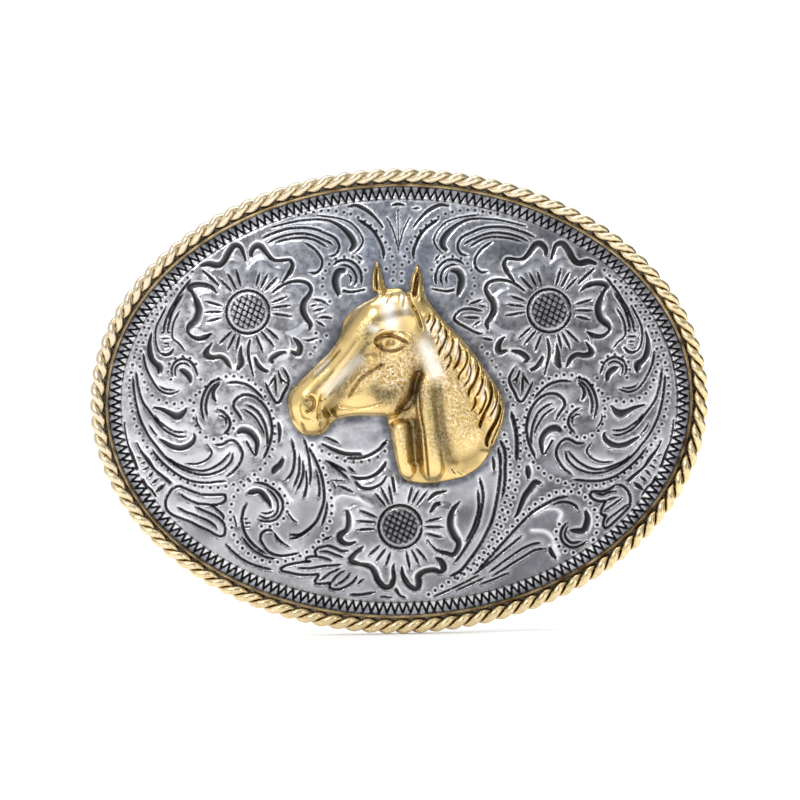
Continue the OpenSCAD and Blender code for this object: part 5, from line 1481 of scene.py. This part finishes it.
def build_surround(scene):
    """The surround: pale to the camera and to matt surfaces. Polished metal sees it darken from front
    to rear, with a slant and soft clouds, so that flat metal isn't blank."""
    world = bpy.data.worlds.new("Studio")
    scene.world = world
    world.use_nodes = True
    tree = world.node_tree
    back = tree.nodes["Background"]
    coords = tree.nodes.new("ShaderNodeTexCoord")
    noise = tree.nodes.new("ShaderNodeTexNoise")
    noise.inputs["Scale"].default_value = 2.2
    noise.inputs["Detail"].default_value = 1.0
    parts = tree.nodes.new("ShaderNodeSeparateXYZ")
    slant = tree.nodes.new("ShaderNodeVectorMath")
    slant.operation = "DOT_PRODUCT"
    slant.inputs[1].default_value = (-0.55, 0.0, 0.42)
    lean = tree.nodes.new("ShaderNodeMath")
    front = tree.nodes.new("ShaderNodeMapRange")
    for i, v in zip((1, 2, 3, 4), (-0.98, -0.6, -0.22, 0.12)):
        front.inputs[i].default_value = v
    rear = tree.nodes.new("ShaderNodeMapRange")
    for i, v in zip((1, 2, 3, 4), (0.45, 0.98, 0.0, -0.42)):
        rear.inputs[i].default_value = v
    both = tree.nodes.new("ShaderNodeMath")
    add = tree.nodes.new("ShaderNodeMath")
    ramp = tree.nodes.new("ShaderNodeValToRGB")
    ramp.color_ramp.elements[0].position, ramp.color_ramp.elements[1].position = 0.2, 0.66
    ramp.color_ramp.elements[0].color = (0.05, 0.055, 0.065, 1)
    ramp.color_ramp.elements[1].color = (0.86, 0.86, 0.87, 1)
    path = tree.nodes.new("ShaderNodeLightPath")
    pale = tree.nodes.new("ShaderNodeMath")
    pale.operation = "MAXIMUM"
    mix = tree.nodes.new("ShaderNodeMix")
    mix.data_type = "RGBA"
    mix.inputs[7].default_value = (1.07, 1.07, 1.07, 1)
    for a, b in (
        (coords.outputs["Generated"], noise.inputs["Vector"]),
        (coords.outputs["Generated"], parts.inputs[0]),
        (coords.outputs["Generated"], slant.inputs[0]),
        (parts.outputs[1], front.inputs[0]),
        (parts.outputs[1], rear.inputs[0]),
        (front.outputs[0], both.inputs[0]),
        (rear.outputs[0], both.inputs[1]),
        (both.outputs[0], add.inputs[0]),
        (noise.outputs["Fac"], lean.inputs[0]),
        (slant.outputs["Value"], lean.inputs[1]),
        (lean.outputs[0], add.inputs[1]),
        (add.outputs[0], ramp.inputs[0]),
        (path.outputs["Is Camera Ray"], pale.inputs[0]),
        (path.outputs["Is Diffuse Ray"], pale.inputs[1]),
        (pale.outputs[0], mix.inputs[0]),
        (ramp.outputs[0], mix.inputs[6]),
        (mix.outputs[2], back.inputs["Color"]),
    ):
        tree.links.new(a, b)
    back.inputs["Strength"].default_value = 1.0
    scene.view_settings.view_transform = "Standard"


def place_camera(scene):
    """A long lens square to the face, whose field at the buckle is as wide as the number says."""
    cam = bpy.data.cameras.new("camera")
    cam.sensor_width = 36.0
    distance, field = 0.6, 0.12272
    cam.lens = cam.sensor_width * distance / field
    cam.clip_start = 0.05
    obj = bpy.data.objects.new("camera", cam)
    turn = Matrix.Rotation(math.radians(90), 4, "X") @ Matrix.Rotation(math.radians(-1.0), 4, "Z")
    obj.matrix_world = Matrix.Translation((0.00014, -distance - 0.005, 0.00014)) @ turn
    scene.collection.objects.link(obj)
    scene.camera = obj


# ---------------------------------------------------------------- the add-on


class BuckleSizes(bpy.types.PropertyGroup):
    """Sizes of the finish work"""

    rope_turns: bpy.props.IntProperty(
        name="Rope turns", description="Turns of the two-strand rim wire round the oval",
        default=50, min=30, max=80,
    )
    zigzag_teeth: bpy.props.IntProperty(
        name="Zigzag teeth", description="Teeth of the cut border round the oval",
        default=200, min=80, max=260,
    )
    cut_depth: bpy.props.FloatProperty(
        name="Cut depth", description="Depth of an ordinary engraved line",
        default=0.0002, min=0.00005, max=0.0004, unit="LENGTH", precision=5,
    )
    figure_rise: bpy.props.FloatProperty(
        name="Figure rise", description="Greatest height of the horse's head above the plate",
        default=0.0044, min=0.003, max=0.005, unit="LENGTH", precision=4,
    )
    light: bpy.props.FloatProperty(
        name="Light", description="Strength of the soft panels", default=1.0, min=0.1, max=4.0
    )


class BuckleColours(bpy.types.PropertyGroup):
    """Colours of the metals"""

    silver: bpy.props.FloatVectorProperty(
        name="Silver", description="Colour of the plated face",
        default=(0.72, 0.72, 0.75), subtype="COLOR", min=0, max=1,
    )
    rim_gold: bpy.props.FloatVectorProperty(
        name="Rim gold", description="Colour of the twisted rim",
        default=(0.84, 0.67, 0.38), subtype="COLOR", min=0, max=1,
    )
    figure_gold: bpy.props.FloatVectorProperty(
        name="Figure gold", description="Colour of the horse's head",
        default=(0.86, 0.63, 0.27), subtype="COLOR", min=0, max=1,
    )
    nickel: bpy.props.FloatVectorProperty(
        name="Nickel", description="Colour of the back plate and hinge lugs",
        default=(0.62, 0.61, 0.59), subtype="COLOR", min=0, max=1,
    )
    steel: bpy.props.FloatVectorProperty(
        name="Steel", description="Colour of the strap loop, pin, hook and rivets",
        default=(0.5, 0.5, 0.51), subtype="COLOR", min=0, max=1,
    )


class BUCKLE_OT_face(bpy.types.Operator):
    """Make the domed, chased and oxidised face plate"""

    bl_idname = "buckle.face"
    bl_label = "Chased face"

    def execute(self, context):
        build_face(context.scene.buckle_sizes, silver_metal(tuple(context.scene.buckle_colours.silver)))
        return {"FINISHED"}


class BUCKLE_OT_rim(bpy.types.Operator):
    """Make the twisted rope edge and the bright wire inside it"""

    bl_idname = "buckle.rim"
    bl_label = "Rope edge and rim wire"

    def execute(self, context):
        gold = rim_metal(tuple(context.scene.buckle_colours.rim_gold))
        build_rope(context.scene.buckle_sizes, gold)
        build_lip(gold)
        return {"FINISHED"}


class BUCKLE_OT_head(bpy.types.Operator):
    """Make the cast horse's head"""

    bl_idname = "buckle.head"
    bl_label = "Horse's head"

    def execute(self, context):
        gold = figure_metal(tuple(context.scene.buckle_colours.figure_gold))
        build_head(context.scene.buckle_sizes, gold)
        return {"FINISHED"}


class BUCKLE_OT_back(bpy.types.Operator):
    """Make the back plate with its hinge lugs, strap loop, pin, hook, rivets and posts"""

    bl_idname = "buckle.back"
    bl_label = "Back fittings"

    def execute(self, context):
        c = context.scene.buckle_colours
        nickel, steel = tuple(c.nickel), tuple(c.steel)
        dim = tuple(0.55 * v for v in nickel)
        build_back_plate(plain_metal("Satin nickel", nickel, dim, (1, 1, 0.04), (0.26, 0.42), 900))
        shade = tuple(0.7 * v for v in nickel)
        lugs = plain_metal("Lug nickel", nickel, shade, (0.1, 1, 1), (0.2, 0.34), 700)
        dark = tuple(0.66 * v for v in steel)
        wire = plain_metal("Drawn steel wire", steel, dark, (0.2, 1, 0.2), (0.16, 0.3), 1500)
        turned_steel = plain_metal("Turned steel", steel, dark, (1, 1, 0.2), (0.16, 0.32), 1500)
        gold = plain_metal("Post brass", (0.85, 0.62, 0.28), (0.45, 0.3, 0.12), None, (0.2, 0.4))
        build_fittings(lugs, wire, turned_steel, gold)
        return {"FINISHED"}


class BUCKLE_OT_stage(bpy.types.Operator):
    """Set up the floor, lights, surround and camera"""

    bl_idname = "buckle.stage"
    bl_label = "Stage"

    def execute(self, context):
        build_stage(context.scene.buckle_sizes)
        return {"FINISHED"}


class BUCKLE_PT_panel(bpy.types.Panel):
    """The sizes, the colours and one button for each group of pieces"""

    bl_label = "Trophy Buckle"
    bl_idname = "BUCKLE_PT_panel"
    bl_space_type = "VIEW_3D"
    bl_region_type = "UI"
    bl_category = "Buckle"

    def draw(self, context):
        """Lays the panel out."""
        for group in (context.scene.buckle_sizes, context.scene.buckle_colours):
            for key in group.__annotations__:
                self.layout.prop(group, key)
        for op in OPERATORS:
            self.layout.operator(op.bl_idname)


OPERATORS = (BUCKLE_OT_face, BUCKLE_OT_rim, BUCKLE_OT_head, BUCKLE_OT_back, BUCKLE_OT_stage)
CLASSES = (BuckleSizes, BuckleColours, *OPERATORS, BUCKLE_PT_panel)


def register():
    """Adds the classes and the scene's settings."""
    for c in CLASSES:
        bpy.utils.register_class(c)
    bpy.types.Scene.buckle_sizes = bpy.props.PointerProperty(type=BuckleSizes)
    bpy.types.Scene.buckle_colours = bpy.props.PointerProperty(type=BuckleColours)


def unregister():
    """Takes them away again."""
    del bpy.types.Scene.buckle_colours
    del bpy.types.Scene.buckle_sizes
    for c in reversed(CLASSES):
        bpy.utils.unregister_class(c)


def main():
    """Makes every piece and the stage."""
    register()
    ops = bpy.ops.buckle
    for op in (ops.face, ops.rim, ops.head, ops.back, ops.stage):
        op()


if __name__ == "__main__":
    main()
